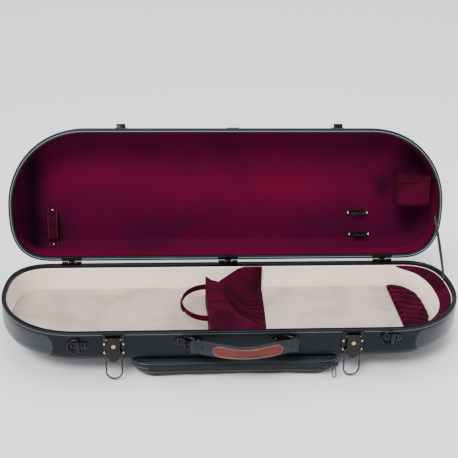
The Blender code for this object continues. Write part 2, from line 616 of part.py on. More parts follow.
def build_handle():
    ends = {}
    for side, x in BRACKETS.items():
        offset = 0.0060 if side == "left" else 0.0050
        bracket = knuckle_plate(x, BRACKET_HEIGHT, 0.0450, 0.0160, 0.0165, offset)
        put(f"handle_bracket_{side}", bracket, "hardware")
        ends[side] = (x + RING_REACH * math.cos(RING_LEAN), 0.0042 + RING_REACH * math.sin(RING_LEAN))
    left_axis = joint_axis("handle_ring_left_axis", FRONT_WALL @ Vector((BRACKETS["left"], BRACKET_HEIGHT,
                                                                         0.0042)))
    right_axis = joint_axis("handle_ring_right_axis", FRONT_WALL @ Vector((BRACKETS["right"],
                                                                           BRACKET_HEIGHT, 0.0042)))
    put("handle_ring_left", handle_ring(BRACKETS["left"]), "hardware", left_axis)
    put("handle_ring_right", handle_ring(BRACKETS["right"]), "hardware", right_axis)
    grip_axis = joint_axis("handle_grip_axis", FRONT_WALL @ Vector((ends["left"][0], BRACKET_HEIGHT,
                                                                    ends["left"][1])), left_axis)

    start, end = ends["left"][0] - 0.0065, ends["right"][0] + 0.0080
    base_w = ends["left"][1] + 0.0036
    stations = 14
    rings, inlay = [], []
    for step in range(stations + 1):
        share = step / stations
        u = start + (end - start) * share
        rise = max(0.0, math.sin(math.pi * min(1, max(0, (share - 0.08) / 0.84)))) ** 0.9
        back = base_w + 0.0125 * rise
        thick = 0.0045 + 0.0065 * rise
        waist = math.exp(-((share - 0.5) / 0.2) ** 2)
        top = BRACKET_HEIGHT + 0.0120 + 0.0015 * rise - 0.0050 * waist
        low = BRACKET_HEIGHT - 0.0120 - 0.0010 * rise
        soft = thick * 0.3
        rings.append([(u, low, back + soft), (u, low + soft, back), (u, top - soft, back),
                      (u, top, back + soft), (u, top, back + thick - soft),
                      (u, top - soft, back + thick), (u, low + soft, back + thick),
                      (u, low, back + thick - soft)])
        if 0.19 < share < 0.85:
            edge = 0.0045 if step in (3, 11) else 0.0025
            face = back + thick + GAP
            inlay.append([(u, low + edge + 0.001, face), (u, top - edge, face),
                          (u, top - edge, face + 0.0008), (u, low + edge + 0.001, face + 0.0008)])
    loops, bores = [], []
    for u, w in ends.values():
        loops.append(rod((u, BRACKET_HEIGHT - 0.0072, w), (u, BRACKET_HEIGHT + 0.0072, w), 0.0038, sides=14))
        loops.append(box((u - 0.0030, BRACKET_HEIGHT - 0.0072, w), (u + 0.0030, BRACKET_HEIGHT + 0.0072,
                                                                    w + 0.0050)))
        bores.append(rod((u, BRACKET_HEIGHT - 0.02, w), (u, BRACKET_HEIGHT + 0.02, w), 0.0019, sides=14))
    studs = [dome(u, BRACKET_HEIGHT, base_w + 0.0040, 0.0024, 0.0016) for u in (start + 0.01, end - 0.01)]
    grip = carved(loft(rings), add=[*loops, *studs], cut=bores)
    put("handle_grip", moved(grip, FRONT_WALL), "leather", grip_axis)
    put("handle_inlay", moved(loft(inlay), FRONT_WALL), "inlay", grip_axis)


# music pouch under the base
def under_base(y):
    """How high the pouch may reach at y without touching the base's rounded underside."""
    inset = WIDTH + y - SHELL_INSET
    if inset <= 0:
        return 0.0
    if inset > BASE_ROUND:
        return -BASE_DEPTH - 0.0008
    bend = math.acos(1 - inset / BASE_ROUND)
    return BASE_ROUND - BASE_DEPTH - BASE_ROUND * math.sin(bend) - 0.0025


def build_pouch():
    ground = -POUCH_DROP
    rows = ((0.140, -0.2400, -0.034, ground), (0.150, -0.2455, -0.030, ground + 0.003),
            (0.164, -0.2500, -0.026, -0.0740), (0.173, -0.2525, -0.024, -0.0650),
            (0.179, -0.2525, -0.024, -0.0560), (0.178, -0.2500, -0.026, -0.0535),
            (0.174, -0.2440, -0.030, -0.0575), (0.164, -0.2280, -0.045, -0.0605))
    rings = [rounded_outline(half, low, high, (0.030, 0.045, 2.4), (0.03, 0.03, 2.0), z)
             for half, low, high, z in rows]
    rings = [[(x, y, min(z, under_base(y))) for x, y, z in ring] for ring in rings]
    put("music_pouch", loft(rings), "pouch")

    face, level = 0.2525 + 2 * GAP - WIDTH, -0.0605
    tape = box((-0.1420, level - 0.0040, face), (0.1660, level + 0.0040, face + 0.0008))
    teeth = box((-0.1400, level - 0.0011, face + 0.0005), (0.1640, level + 0.0011, face + 0.0016))
    put("zipper", moved(carved(tape, add=[teeth]), FRONT_WALL), "pouch")

    for name, u, lean in (("inner", 0.1460, math.radians(142)), ("outer", 0.1585, math.radians(-84))):
        slide = joint_axis(f"zip_slider_{name}_axis", FRONT_WALL @ Vector((u, level, face)))
        body = box((u - 0.0045, level - 0.0032, face + 0.0019), (u + 0.0045, level + 0.0032, face + 0.0036),
                   0.0004)
        post = rod((u, level, face + 0.0030), (u, level, face + 0.0062), 0.0010, sides=10)
        cap = rod((u, level, face + 0.0060), (u, level, face + 0.0068), 0.0022, sides=10)
        put(f"zip_slider_{name}", moved(carved(body, add=[post, cap]), FRONT_WALL), "nickel", slide)
        swing = joint_axis(f"zip_pull_{name}_axis", FRONT_WALL @ Vector((u, level, face)), slide)
        reach = 0.0185 if name == "inner" else 0.0215
        half = 0.0032
        path = []
        for step in range(8):
            angle = math.pi * (0.5 + step / 7)
            path.append((half * 0.62 * math.cos(angle), half * 0.62 * math.sin(angle)))
        for step in range(8):
            angle = math.pi * (-0.5 + step / 7)
            path.append((reach - half + half * math.cos(angle), half * math.sin(angle)))
        turn = Matrix.Rotation(lean, 4, "Z")
        points = [shift(u, level, face + 0.0050) @ turn @ Vector((a, b, 0)) for a, b in path]
        put(f"zip_pull_{name}", moved(wire(points, 0.0007, closed=True), FRONT_WALL), "nickel", swing)


def build_stay_strap():
    """The webbing that stops the lid, from inside the lid's wall to inside the base's wall."""
    top = Vector((0.3835, 0.0190, 0.0810))
    foot = Vector((0.3850, -0.0745, -0.0025))
    across = (top - foot).normalized().cross(Vector((1, 0, 0)))
    rings = []
    for step in range(9):
        point = foot.lerp(top, step / 8)
        rings.append([point + across * v + Vector((h, 0, 0))
                      for v, h in ((-0.004, -0.0006), (0.004, -0.0006), (0.004, 0.0006), (-0.004, 0.0006))])
    put("stay_strap", loft(rings), "webbing")


lid_axis = joint_axis("lid_hinge_axis", HINGE, turn=-LID_ANGLE)
build_base()
build_body_end()
build_cradle()
build_lid(lid_axis)
build_hinges(lid_axis)
build_lid_fittings(lid_axis)
for latch_side, latch_x in LATCHES.items():
    build_latch(latch_side, latch_x)
for ring_side, (ring_x, ring_v) in STRAP_PLATES.items():
    build_strap_ring(ring_side, ring_x, ring_v)
build_handle()
build_pouch()
build_stay_strap()
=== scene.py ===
import json
import math

import bmesh
import bpy
from mathutils import Matrix, Vector, noise
from mathutils.bvhtree import BVHTree


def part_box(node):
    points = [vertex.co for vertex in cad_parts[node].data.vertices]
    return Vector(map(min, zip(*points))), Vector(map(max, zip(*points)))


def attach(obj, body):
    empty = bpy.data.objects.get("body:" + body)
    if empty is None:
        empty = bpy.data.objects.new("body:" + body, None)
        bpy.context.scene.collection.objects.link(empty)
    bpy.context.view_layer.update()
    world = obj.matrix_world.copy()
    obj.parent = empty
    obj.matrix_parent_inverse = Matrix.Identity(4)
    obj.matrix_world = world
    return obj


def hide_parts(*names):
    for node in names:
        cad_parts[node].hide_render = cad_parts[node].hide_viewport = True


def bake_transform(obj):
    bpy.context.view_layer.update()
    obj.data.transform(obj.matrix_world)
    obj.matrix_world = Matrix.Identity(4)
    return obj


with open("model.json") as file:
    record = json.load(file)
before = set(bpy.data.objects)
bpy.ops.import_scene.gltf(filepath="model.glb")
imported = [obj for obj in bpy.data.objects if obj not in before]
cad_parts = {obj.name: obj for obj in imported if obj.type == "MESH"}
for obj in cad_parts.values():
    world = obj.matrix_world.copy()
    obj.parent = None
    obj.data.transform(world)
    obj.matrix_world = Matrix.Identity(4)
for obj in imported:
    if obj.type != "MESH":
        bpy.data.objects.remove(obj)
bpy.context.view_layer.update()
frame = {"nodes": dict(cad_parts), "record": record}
print("frame loaded:", len(frame["nodes"]), "nodes")

joints = {joint["name"]: joint for joint in frame["record"]["behaviour"]["joints"]}
railLow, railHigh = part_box("base_rail")
caseLength = railHigh.x - railLow.x
caseWidth = railHigh.y - railLow.y
rimCorner = Vector((0, railHigh.y, railHigh.z))          # rim plane, at the hinge side's edge
hingePoint = Vector(joints["lid_hinge"]["pos_m"])
lidOpening = math.radians(max(joints["lid_hinge"]["range_deg"]))

onBase = Matrix.Translation(rimCorner)                    # case coordinates: rim at z 0, hinge edge at y 0
onLid = (Matrix.Translation(hingePoint) @ Matrix.Rotation(-lidOpening, 4, "X")
         @ Matrix.Translation(rimCorner - hingePoint))
onFront = onBase @ Matrix(((1, 0, 0, 0), (0, 0, -1, -caseWidth), (0, 1, 0, 0), (0, 0, 0, 1)))

lidDepths = dict(back=0.0483, wallFoot=(0.0005, 0.0066), wallHead=(0.0047, 0.030), round=(0.0243, 0.024),
                 liningHead=(0.0115, 0.030), liningRound=0.0175)
onLidBack = onLid @ Matrix(((1, 0, 0, 0), (0, -1, 0, 0), (0, 0, -1, lidDepths["back"]), (0, 0, 0, 1)))


# small helpers
def tint(red, green, blue):                               # 0 to 255 display values to linear
    return tuple((c / 255 / 12.92) if c / 255 <= 0.04045 else ((c / 255 + 0.055) / 1.055) ** 2.4
                 for c in (red, green, blue)) + (1.0,)


def mix(a, b, share):
    return a + (b - a) * share


def eased(value):
    value = min(1.0, max(0.0, value))
    return value * value * (3 - 2 * value)


def addNode(tree, kind, settings=None, inputs=None):
    made = tree.nodes.new(kind)
    for key, value in (settings or {}).items():
        setattr(made, key, value)
    for key, value in (inputs or {}).items():
        if isinstance(value, bpy.types.NodeSocket):
            tree.links.new(value, made.inputs[key])
        else:
            made.inputs[key].default_value = value
    return made


def calc(tree, operation, *values):
    return addNode(tree, "ShaderNodeMath", {"operation": operation}, dict(enumerate(values))).outputs[0]


def remap(tree, value, low, high, toLow=0.0, toHigh=1.0):
    settings = {"interpolation_type": "SMOOTHSTEP"}
    return addNode(tree, "ShaderNodeMapRange", settings,
                   {"Value": value, "From Min": low, "From Max": high, "To Min": toLow,
                    "To Max": toHigh}).outputs[0]


def blendColour(tree, share, first, second):
    made = addNode(tree, "ShaderNodeMix", {"data_type": "RGBA"})
    for socket, value in ((made.inputs[0], share), (made.inputs[6], first), (made.inputs[7], second)):
        if isinstance(value, bpy.types.NodeSocket):
            tree.links.new(value, socket)
        else:
            socket.default_value = value
    return made.outputs[2]


def openGroup(name, inputs, outputs):
    group = bpy.data.node_groups.new(name, "ShaderNodeTree")
    for label, kind, value in inputs:
        socket = group.interface.new_socket(label, in_out="INPUT", socket_type=kind)
        if value is not None:
            socket.default_value = value
    for label in outputs:
        group.interface.new_socket(label, in_out="OUTPUT", socket_type="NodeSocketFloat")
    return group, group.nodes.new("NodeGroupInput"), group.nodes.new("NodeGroupOutput")


def makeStaggerGroup():                                   # rounded dashes laid like bricks
    group, given, result = openGroup("staggeredDashes", [("Vector", "NodeSocketVector", None),
                                                         ("Wide", "NodeSocketFloat", 0.004),
                                                         ("Tall", "NodeSocketFloat", 0.004)],
                                     ["Dash", "Height"])
    parts = addNode(group, "ShaderNodeSeparateXYZ", inputs={0: given.outputs["Vector"]})
    along = calc(group, "DIVIDE", parts.outputs[0], given.outputs["Wide"])
    up = calc(group, "DIVIDE", parts.outputs[1], given.outputs["Tall"])
    odd = calc(group, "FLOORED_MODULO", calc(group, "FLOOR", up), 2.0)
    along = calc(group, "ADD", along, calc(group, "MULTIPLY", odd, 0.5))
    offMiddle = [calc(group, "MULTIPLY", calc(group, "ABSOLUTE", calc(group, "SUBTRACT", calc(
        group, "FRACT", value), 0.5)), 2.0) for value in (along, up)]
    squared = [calc(group, "POWER", value, 4.0) for value in offMiddle]
    reach = calc(group, "ADD", squared[0], calc(group, "MULTIPLY", squared[1], 1.3))
    squares = [calc(group, "POWER", value, 2.0) for value in offMiddle]
    dome = calc(group, "SUBTRACT", 1.0, calc(group, "MULTIPLY", calc(group, "ADD", *squares), 0.5))
    group.links.new(remap(group, reach, 0.85, 0.25), result.inputs["Dash"])
    group.links.new(dome, result.inputs["Height"])
    return group


def makeNapGroup():                                       # pile that lies one way here and another there
    group, given, result = openGroup("clothNap", [("Vector", "NodeSocketVector", None),
                                                  ("Broad", "NodeSocketFloat", 9.0),
                                                  ("Fine", "NodeSocketFloat", 2400.0)],
                                     ["Lay", "Fibre"])
    broad = addNode(group, "ShaderNodeTexNoise", inputs={"Vector": given.outputs["Vector"],
                    "Scale": given.outputs["Broad"], "Detail": 3.0, "Distortion": 0.6})
    fine = addNode(group, "ShaderNodeTexNoise", inputs={"Vector": given.outputs["Vector"],
                   "Scale": given.outputs["Fine"], "Detail": 2.0})
    group.links.new(remap(group, broad.outputs[0], 0.32, 0.68), result.inputs["Lay"])
    group.links.new(fine.outputs[0], result.inputs["Fibre"])
    return group


def makeThreadGroup():                                    # plain weave of crossing threads
    group, given, result = openGroup("plainWeave", [("Vector", "NodeSocketVector", None),
                                                    ("Pitch", "NodeSocketFloat", 0.0008)],
                                     ["Thread"])
    parts = addNode(group, "ShaderNodeSeparateXYZ", inputs={0: given.outputs["Vector"]})
    waves = [calc(group, "SINE", calc(group, "MULTIPLY", calc(group, "DIVIDE", parts.outputs[i],
             given.outputs["Pitch"]), math.pi)) for i in (0, 1)]
    crossed = calc(group, "MULTIPLY", *waves)
    group.links.new(remap(group, crossed, -1.0, 1.0), result.inputs["Thread"])
    return group


def makeScuffGroup():                                     # faint smears that break up a gloss
    group, given, result = openGroup("handlingScuffs", [("Vector", "NodeSocketVector", None),
                                                        ("Smooth", "NodeSocketFloat", 0.2),
                                                        ("Rough", "NodeSocketFloat", 0.35)],
                                     ["Roughness", "Height"])
    smear = addNode(group, "ShaderNodeTexNoise", inputs={"Vector": given.outputs["Vector"], "Scale": 28.0,
                    "Detail": 5.0, "Roughness": 0.65})
    fine = addNode(group, "ShaderNodeTexNoise", inputs={"Vector": given.outputs["Vector"],
                   "Scale": 900.0, "Detail": 2.0})
    share = remap(group, smear.outputs[0], 0.35, 0.7)
    spread = calc(group, "SUBTRACT", given.outputs["Rough"], given.outputs["Smooth"])
    group.links.new(calc(group, "ADD", given.outputs["Smooth"], calc(group, "MULTIPLY", share, spread)),
                    result.inputs["Roughness"])
    group.links.new(fine.outputs[0], result.inputs["Height"])
    return group


staggerGroup, napGroup = makeStaggerGroup(), makeNapGroup()
threadGroup, scuffGroup = makeThreadGroup(), makeScuffGroup()


def startLook(name, colour, roughness, sockets=None):
    look = bpy.data.materials.new(name)
    look.use_nodes = True
    tree = look.node_tree
    shader = tree.nodes["Principled BSDF"]
    shader.inputs["Base Color"].default_value = colour
    shader.inputs["Roughness"].default_value = roughness
    for label, value in (sockets or {}).items():
        shader.inputs[label].default_value = value
    where = addNode(tree, "ShaderNodeTexCoord")
    look.diffuse_color = colour
    return look, tree, shader, where.outputs["Object"], where.outputs["UV"]


def useGroup(tree, group, vector, **values):
    made = addNode(tree, "ShaderNodeGroup", {"node_tree": group}, {"Vector": vector})
    for label, value in values.items():
        made.inputs[label].default_value = value
    return made.outputs


def raised(tree, shader, height, distance, strength=1.0):
    bump = addNode(tree, "ShaderNodeBump", inputs={"Height": height, "Distance": distance,
                   "Strength": strength})
    tree.links.new(bump.outputs[0], shader.inputs["Normal"])


def weaveShellLook():
    look, tree, shader, place, surface = startLook("wovenShell", tint(20, 24, 30), 0.3, {
        "Coat Weight": 0.05, "Coat Roughness": 0.15, "Specular IOR Level": 0.1})
    dashes = useGroup(tree, staggerGroup, surface, Wide=0.0044, Tall=0.0034)
    scuffs = useGroup(tree, scuffGroup, place, Smooth=0.3, Rough=0.36)
    tree.links.new(blendColour(tree, dashes["Dash"], tint(0, 0, 1), tint(25, 30, 37)),
                   shader.inputs["Base Color"])
    tree.links.new(scuffs["Roughness"], shader.inputs["Roughness"])
    raised(tree, shader, dashes["Height"], 0.0002, 0.7)
    return look


def glossLook(name, colour, smooth, rough, sockets=None, lift=0.00003):
    look, tree, shader, place, _ = startLook(name, colour, smooth, sockets)
    scuffs = useGroup(tree, scuffGroup, place, Smooth=smooth, Rough=rough)
    tree.links.new(scuffs["Roughness"], shader.inputs["Roughness"])
    raised(tree, shader, scuffs["Height"], lift, 0.5)
    return look


velvetSockets = {"Sheen Weight": 0.1, "Sheen Roughness": 0.4, "Sheen Tint": tint(190, 50, 90),
                 "Specular IOR Level": 0.08}


def lidVelvetLook():                                      # painted light and shade for the lid velvet are stored on the mesh
    look, tree, shader, place, _ = startLook("lidVelvet", tint(76, 0, 32), 0.85, velvetSockets)
    lay = addNode(tree, "ShaderNodeAttribute", {"attribute_name": "lay"}).outputs["Fac"]
    nap = useGroup(tree, napGroup, place, Broad=6.0, Fine=2600.0)
    # painted light and shade from the mesh, mixed with the nap's random tone
    drift = calc(tree, "MULTIPLY_ADD", nap["Lay"], 0.14, calc(tree, "SUBTRACT", lay, 0.07))
    grain = calc(tree, "MULTIPLY_ADD", calc(tree, "SUBTRACT", nap["Fibre"], 0.5), 0.25, drift)
    # the ramp turns painted shade into near-black burgundy and painted light into bright red
    ramp = addNode(tree, "ShaderNodeValToRGB", inputs={0: grain})
    stops = ramp.color_ramp.elements
    stops[0].position, stops[0].color = 0.0, tint(12, 0, 7)
    stops[1].position, stops[1].color = 1.0, tint(112, 2, 38)
    for position, colour in ((0.4, tint(56, 0, 32)), (0.7, tint(84, 0, 36))):
        stops.new(position).color = colour
    tree.links.new(ramp.outputs[0], shader.inputs["Base Color"])
    raised(tree, shader, nap["Fibre"], 0.0004, 0.5)
    return look


def velvetLook(name, dark, light, broad=9.0):
    look, tree, shader, place, _ = startLook(name, dark, 0.85, velvetSockets)
    nap = useGroup(tree, napGroup, place, Broad=broad, Fine=2600.0)
    speckle = calc(tree, "MULTIPLY_ADD", nap["Fibre"], 0.5, calc(tree, "MULTIPLY", nap["Lay"], 0.75))
    # painted shade, read from the mesh, darkens folds and hollows toward near-black burgundy
    paintedShade = addNode(tree, "ShaderNodeAttribute", {"attribute_name": "paintedShade"}).outputs["Fac"]
    pile = blendColour(tree, calc(tree, "SUBTRACT", speckle, 0.12), dark, light)
    tree.links.new(blendColour(tree, paintedShade, pile, tint(14, 0, 6)), shader.inputs["Base Color"])
    raised(tree, shader, nap["Fibre"], 0.0004, 0.6)
    return look


def clothLook(name, dark, light, broad, fine, lift=0.0003):
    look, tree, shader, place, _ = startLook(name, light, 0.9, {
        "Sheen Weight": 0.15, "Sheen Roughness": 0.5, "Specular IOR Level": 0.2})
    nap = useGroup(tree, napGroup, place, Broad=broad, Fine=fine)
    both = calc(tree, "MULTIPLY_ADD", nap["Fibre"], 0.35, calc(tree, "MULTIPLY", nap["Lay"], 0.65))
    tree.links.new(blendColour(tree, both, dark, light), shader.inputs["Base Color"])
    raised(tree, shader, nap["Fibre"], lift, 0.5)
    return look


def leatherLook(name, dark, light):
    look, tree, shader, place, _ = startLook(name, light, 0.45, {"Specular IOR Level": 0.28})
    cells = addNode(tree, "ShaderNodeTexVoronoi", {"feature": "DISTANCE_TO_EDGE"},
                    {"Vector": place, "Scale": 1100.0})
    nap = useGroup(tree, napGroup, place, Broad=35.0, Fine=1500.0)
    pores = remap(tree, cells.outputs[0], 0.0, 0.18)
    tree.links.new(blendColour(tree, nap["Lay"], dark, light), shader.inputs["Base Color"])
    tree.links.new(remap(tree, nap["Fibre"], 0.3, 0.7, 0.36, 0.56), shader.inputs["Roughness"])
    raised(tree, shader, pores, 0.00012, 0.6)
    return look


def wovenClothLook(name, dark, light, pitch, roughness, onSurface=False):
    look, tree, shader, place, surface = startLook(name, light, roughness, {
        "Sheen Weight": 0.1, "Specular IOR Level": 0.2})
    if not onSurface:                                     # threads along x, and across it on any face
        parts = addNode(tree, "ShaderNodeSeparateXYZ", inputs={0: place})
        across = calc(tree, "ADD", parts.outputs[1], parts.outputs[2])
        flat = addNode(tree, "ShaderNodeCombineXYZ", inputs={0: parts.outputs[0], 1: across})
        surface = flat.outputs[0]
    thread = useGroup(tree, threadGroup, surface, Pitch=pitch)
    nap = useGroup(tree, napGroup, place, Broad=22.0, Fine=1800.0)
    tone = calc(tree, "MULTIPLY_ADD", thread["Thread"], 0.6, calc(tree, "MULTIPLY", nap["Lay"], 0.4))
    tree.links.new(blendColour(tree, tone, dark, light), shader.inputs["Base Color"])
    raised(tree, shader, thread["Thread"], 0.00025, 0.7)
    return look


looks = {
    "weave": weaveShellLook(),
    "smoothShell": glossLook("smoothShell", tint(25, 31, 38), 0.28, 0.36,
                             {"Specular IOR Level": 0.34, "Coat Weight": 0.12, "Coat Roughness": 0.16}),
    "rail": glossLook("edgeProfile", tint(11, 14, 17), 0.32, 0.48, {"Specular IOR Level": 0.25}),
    # a light grey used as a painted highlight on the rail tongue and beads
    "railLine": glossLook("paintedEdgeHighlight", tint(112, 120, 128), 0.3, 0.4),
    "black": glossLook("blackPlate", tint(2, 2, 3), 0.16, 0.3, {"Specular IOR Level": 0.28}),
    "steel": glossLook("darkSteel", tint(60, 62, 66), 0.14, 0.28, {"Metallic": 1.0}),
    "nickel": glossLook("nickel", tint(205, 206, 208), 0.12, 0.28, {"Metallic": 1.0}),
    "brass": glossLook("brass", tint(206, 160, 104), 0.2, 0.34, {"Metallic": 1.0}),
    "lidVelvet": lidVelvetLook(),
    "velvet": velvetLook("cradleVelvet", tint(36, 0, 17), tint(68, 1, 30), 26.0),
    "cream": clothLook("creamCloth", tint(244, 220, 204), tint(254, 238, 226), 8.0, 1500.0),
    "floor": clothLook("paleVelour", tint(164, 148, 140), tint(200, 184, 174), 14.0, 1100.0),
    "leather": leatherLook("slateLeather", tint(14, 17, 21), tint(27, 32, 38)),
    "inlay": leatherLook("redLeather", tint(76, 26, 20), tint(102, 40, 32)),
    "piping": leatherLook("palePiping", tint(118, 80, 72), tint(146, 106, 98)),
    "webbing": wovenClothLook("webbing", tint(24, 28, 32), tint(56, 63, 70), 0.0011, 0.7, True),
    "nylon": wovenClothLook("nylonCloth", tint(7, 9, 12), tint(26, 31, 37), 0.0013, 0.5),
    "pouchPiping": glossLook("pouchPiping", tint(50, 58, 68), 0.35, 0.5),
    "tape": wovenClothLook("zipTape", tint(10, 13, 16), tint(26, 30, 36), 0.0009, 0.75),
    "teeth": glossLook("zipTeeth", tint(36, 40, 46), 0.3, 0.45),
}
print("materials made:", len(looks))


# mesh helpers
def link(name, data):
    thing = bpy.data.objects.new(name, data)
    bpy.context.scene.collection.objects.link(thing)
    return thing


def evaluated(thing):
    depsgraph = bpy.context.evaluated_depsgraph_get()
    mesh = bpy.data.meshes.new_from_object(thing.evaluated_get(depsgraph), preserve_all_data_layers=True,
                                           depsgraph=depsgraph)
    bpy.data.objects.remove(thing)
    return mesh


def baked(mesh, *steps):
    thing = link("work", mesh)
    for kind, settings in steps:
        step = thing.modifiers.new(kind.title(), kind)
        for key, value in settings.items():
            setattr(step, key, value)
    return evaluated(thing)


def merged(mesh, distance=1e-5):
    bm = bmesh.new()
    bm.from_mesh(mesh)
    bmesh.ops.remove_doubles(bm, verts=bm.verts, dist=distance)
    bmesh.ops.dissolve_degenerate(bm, edges=bm.edges, dist=1e-7)
    bmesh.ops.recalc_face_normals(bm, faces=bm.faces)
    bm.to_mesh(mesh)
    bm.free()
    return mesh


def moved(mesh, matrix):
    mesh.transform(matrix)
    return mesh


def place(name, mesh, look, body, slotName, nodes=(), angle=38):
    mesh.name = name
    mesh.materials.clear()
    for each in (look if isinstance(look, (list, tuple)) else [look]):
        mesh.materials.append(looks[each])
    mesh.shade_smooth()
    mesh.set_sharp_from_angle(angle=math.radians(angle))
    piece = link(name, mesh)
    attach(piece, body)
    if nodes:
        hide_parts(*nodes)
    return piece


def skin(rows, goesRound=True, capped=False, closes=False):
    bm = bmesh.new()
    layer = bm.loops.layers.uv.new("surface")
    grid = [[bm.verts.new(point) for point in row] for row in rows]
    count = len(rows[0])
    first = [Vector(point) for point in rows[0]]
    across, down = [0.0], [0.0]
    for i in range(count):
        across.append(across[-1] + (first[(i + 1) % count] - first[i]).length)
    for upper, lower in zip(rows, rows[1:] + rows[:1]):
        down.append(down[-1] + (Vector(lower[count // 3]) - Vector(upper[count // 3])).length)
    last = len(rows) if closes else len(rows) - 1
    for j in range(last):
        k = (j + 1) % len(rows)
        for i in range(count if goesRound else count - 1):
            n = (i + 1) % count
            face = bm.faces.new((grid[j][i], grid[j][n], grid[k][n], grid[k][i]))
            corners = ((i, j), (i + 1, j), (i + 1, j + 1), (i, j + 1))
            for loop, (a, b) in zip(face.loops, corners):
                loop[layer].uv = (across[a], down[b])
    if capped:
        for row in (grid[0], grid[-1]):
            face = bm.faces.new(row)
            for loop in face.loops:
                loop[layer].uv = loop.vert.co.xy
    bmesh.ops.recalc_face_normals(bm, faces=bm.faces)
    mesh = bpy.data.meshes.new("skin")
    bm.to_mesh(mesh)
    bm.free()
    return mesh


def smoothPath(points, closed=False, steps=6):
    points = [Vector(p) for p in points]
    count = len(points)
    found = []
    for i in range(count if closed else count - 1):
        if closed:
            a, b, c, d = (points[(i + k) % count] for k in (-1, 0, 1, 2))
        else:
            a, b, c, d = (points[min(count - 1, max(0, i + k))] for k in (-1, 0, 1, 2))
        for step in range(steps):
            t = step / steps
            found.append(0.5 * (2 * b + (c - a) * t + (2 * a - 5 * b + 4 * c - d) * t * t
                                + (3 * b - 3 * c + d - a) * t ** 3))
    if not closed:
        found.append(points[-1])
    return found


def tube(points, radius, closed=False, resolution=3):
    curve = bpy.data.curves.new("tube", "CURVE")
    curve.dimensions = "3D"
    curve.bevel_depth = radius
    curve.bevel_resolution = resolution
    curve.use_fill_caps = True
    line = curve.splines.new("POLY")
    line.points.add(len(points) - 1)
    for spot, at in zip(line.points, points):
        spot.co = (*at, 1)
    line.use_cyclic_u = closed
    return merged(evaluated(link("tube", curve)))


def block(low, high, bevel=0.0, segments=2):
    bm = bmesh.new()
    bmesh.ops.create_cube(bm, size=1)
    low, high = Vector(low), Vector(high)
    for vert in bm.verts:
        vert.co = (low + high) / 2 + Vector(vert.co[i] * (high[i] - low[i]) for i in range(3))
    if bevel:
        bmesh.ops.bevel(bm, geom=bm.edges[:], offset=bevel, segments=segments, affect="EDGES", profile=0.6)
    mesh = bpy.data.meshes.new("block")
    bm.to_mesh(mesh)
    bm.free()
    return mesh


def carved(mesh, cut=(), add=()):
    stock = link("stock", mesh)
    tools = []
    for operation, pieces in (("UNION", add), ("DIFFERENCE", cut)):
        for piece in pieces:
            tool = link("tool", piece)
            step = stock.modifiers.new("carve", "BOOLEAN")
            step.operation = operation
            step.object = tool
            tools.append(tool)
    result = evaluated(stock)
    for tool in tools:
        bpy.data.objects.remove(tool)
    return result


def puffed(mesh, voxel, cap, pressure=4.0):               # cloth blown up gently, held near its start
    mesh = baked(mesh, ("REMESH", {"mode": "VOXEL", "voxel_size": voxel}))
    rest = [vert.co.copy() for vert in mesh.vertices]
    bag = link("bag", mesh)
    cloth = bag.modifiers.new("Cloth", "CLOTH")
    cloth.settings.quality = 5
    cloth.settings.mass = 0.2
    cloth.settings.use_pressure = True
    cloth.settings.uniform_pressure_force = pressure
    cloth.settings.effector_weights.gravity = 0.0
    cloth.point_cache.frame_end = 20
    scene = bpy.context.scene
    for step in range(1, 21):
        scene.frame_set(step)
    result = evaluated(bag)
    scene.frame_set(1)
    for vert, start in zip(result.vertices, rest):
        shift = vert.co - start
        if shift.length > cap:
            vert.co = start + shift * (cap / shift.length)
    return baked(result, ("SUBSURF", {"levels": 1, "render_levels": 1}))


def softened(nodeName, look, body, slotName, width=0.00025):
    mesh = frame["nodes"][nodeName].data.copy()
    merged(mesh, 1e-6)
    bm = bmesh.new()
    bm.from_mesh(mesh)
    bmesh.ops.dissolve_limit(bm, angle_limit=math.radians(1.5), verts=bm.verts, edges=bm.edges)
    bm.to_mesh(mesh)
    bm.free()
    mesh = baked(mesh, ("BEVEL", {"width": width, "segments": 2, "limit_method": "ANGLE",
                                  "angle_limit": math.radians(42)}))
    return place(nodeName + "_detail", mesh, look, body, slotName, [nodeName], 32)


def paintShade(mesh, values):                                 # painted shade that the velvet look reads in its folds
    layer = mesh.attributes.new("paintedShade", "FLOAT", "POINT")
    for holder, value in zip(layer.data, values):
        holder.value = value


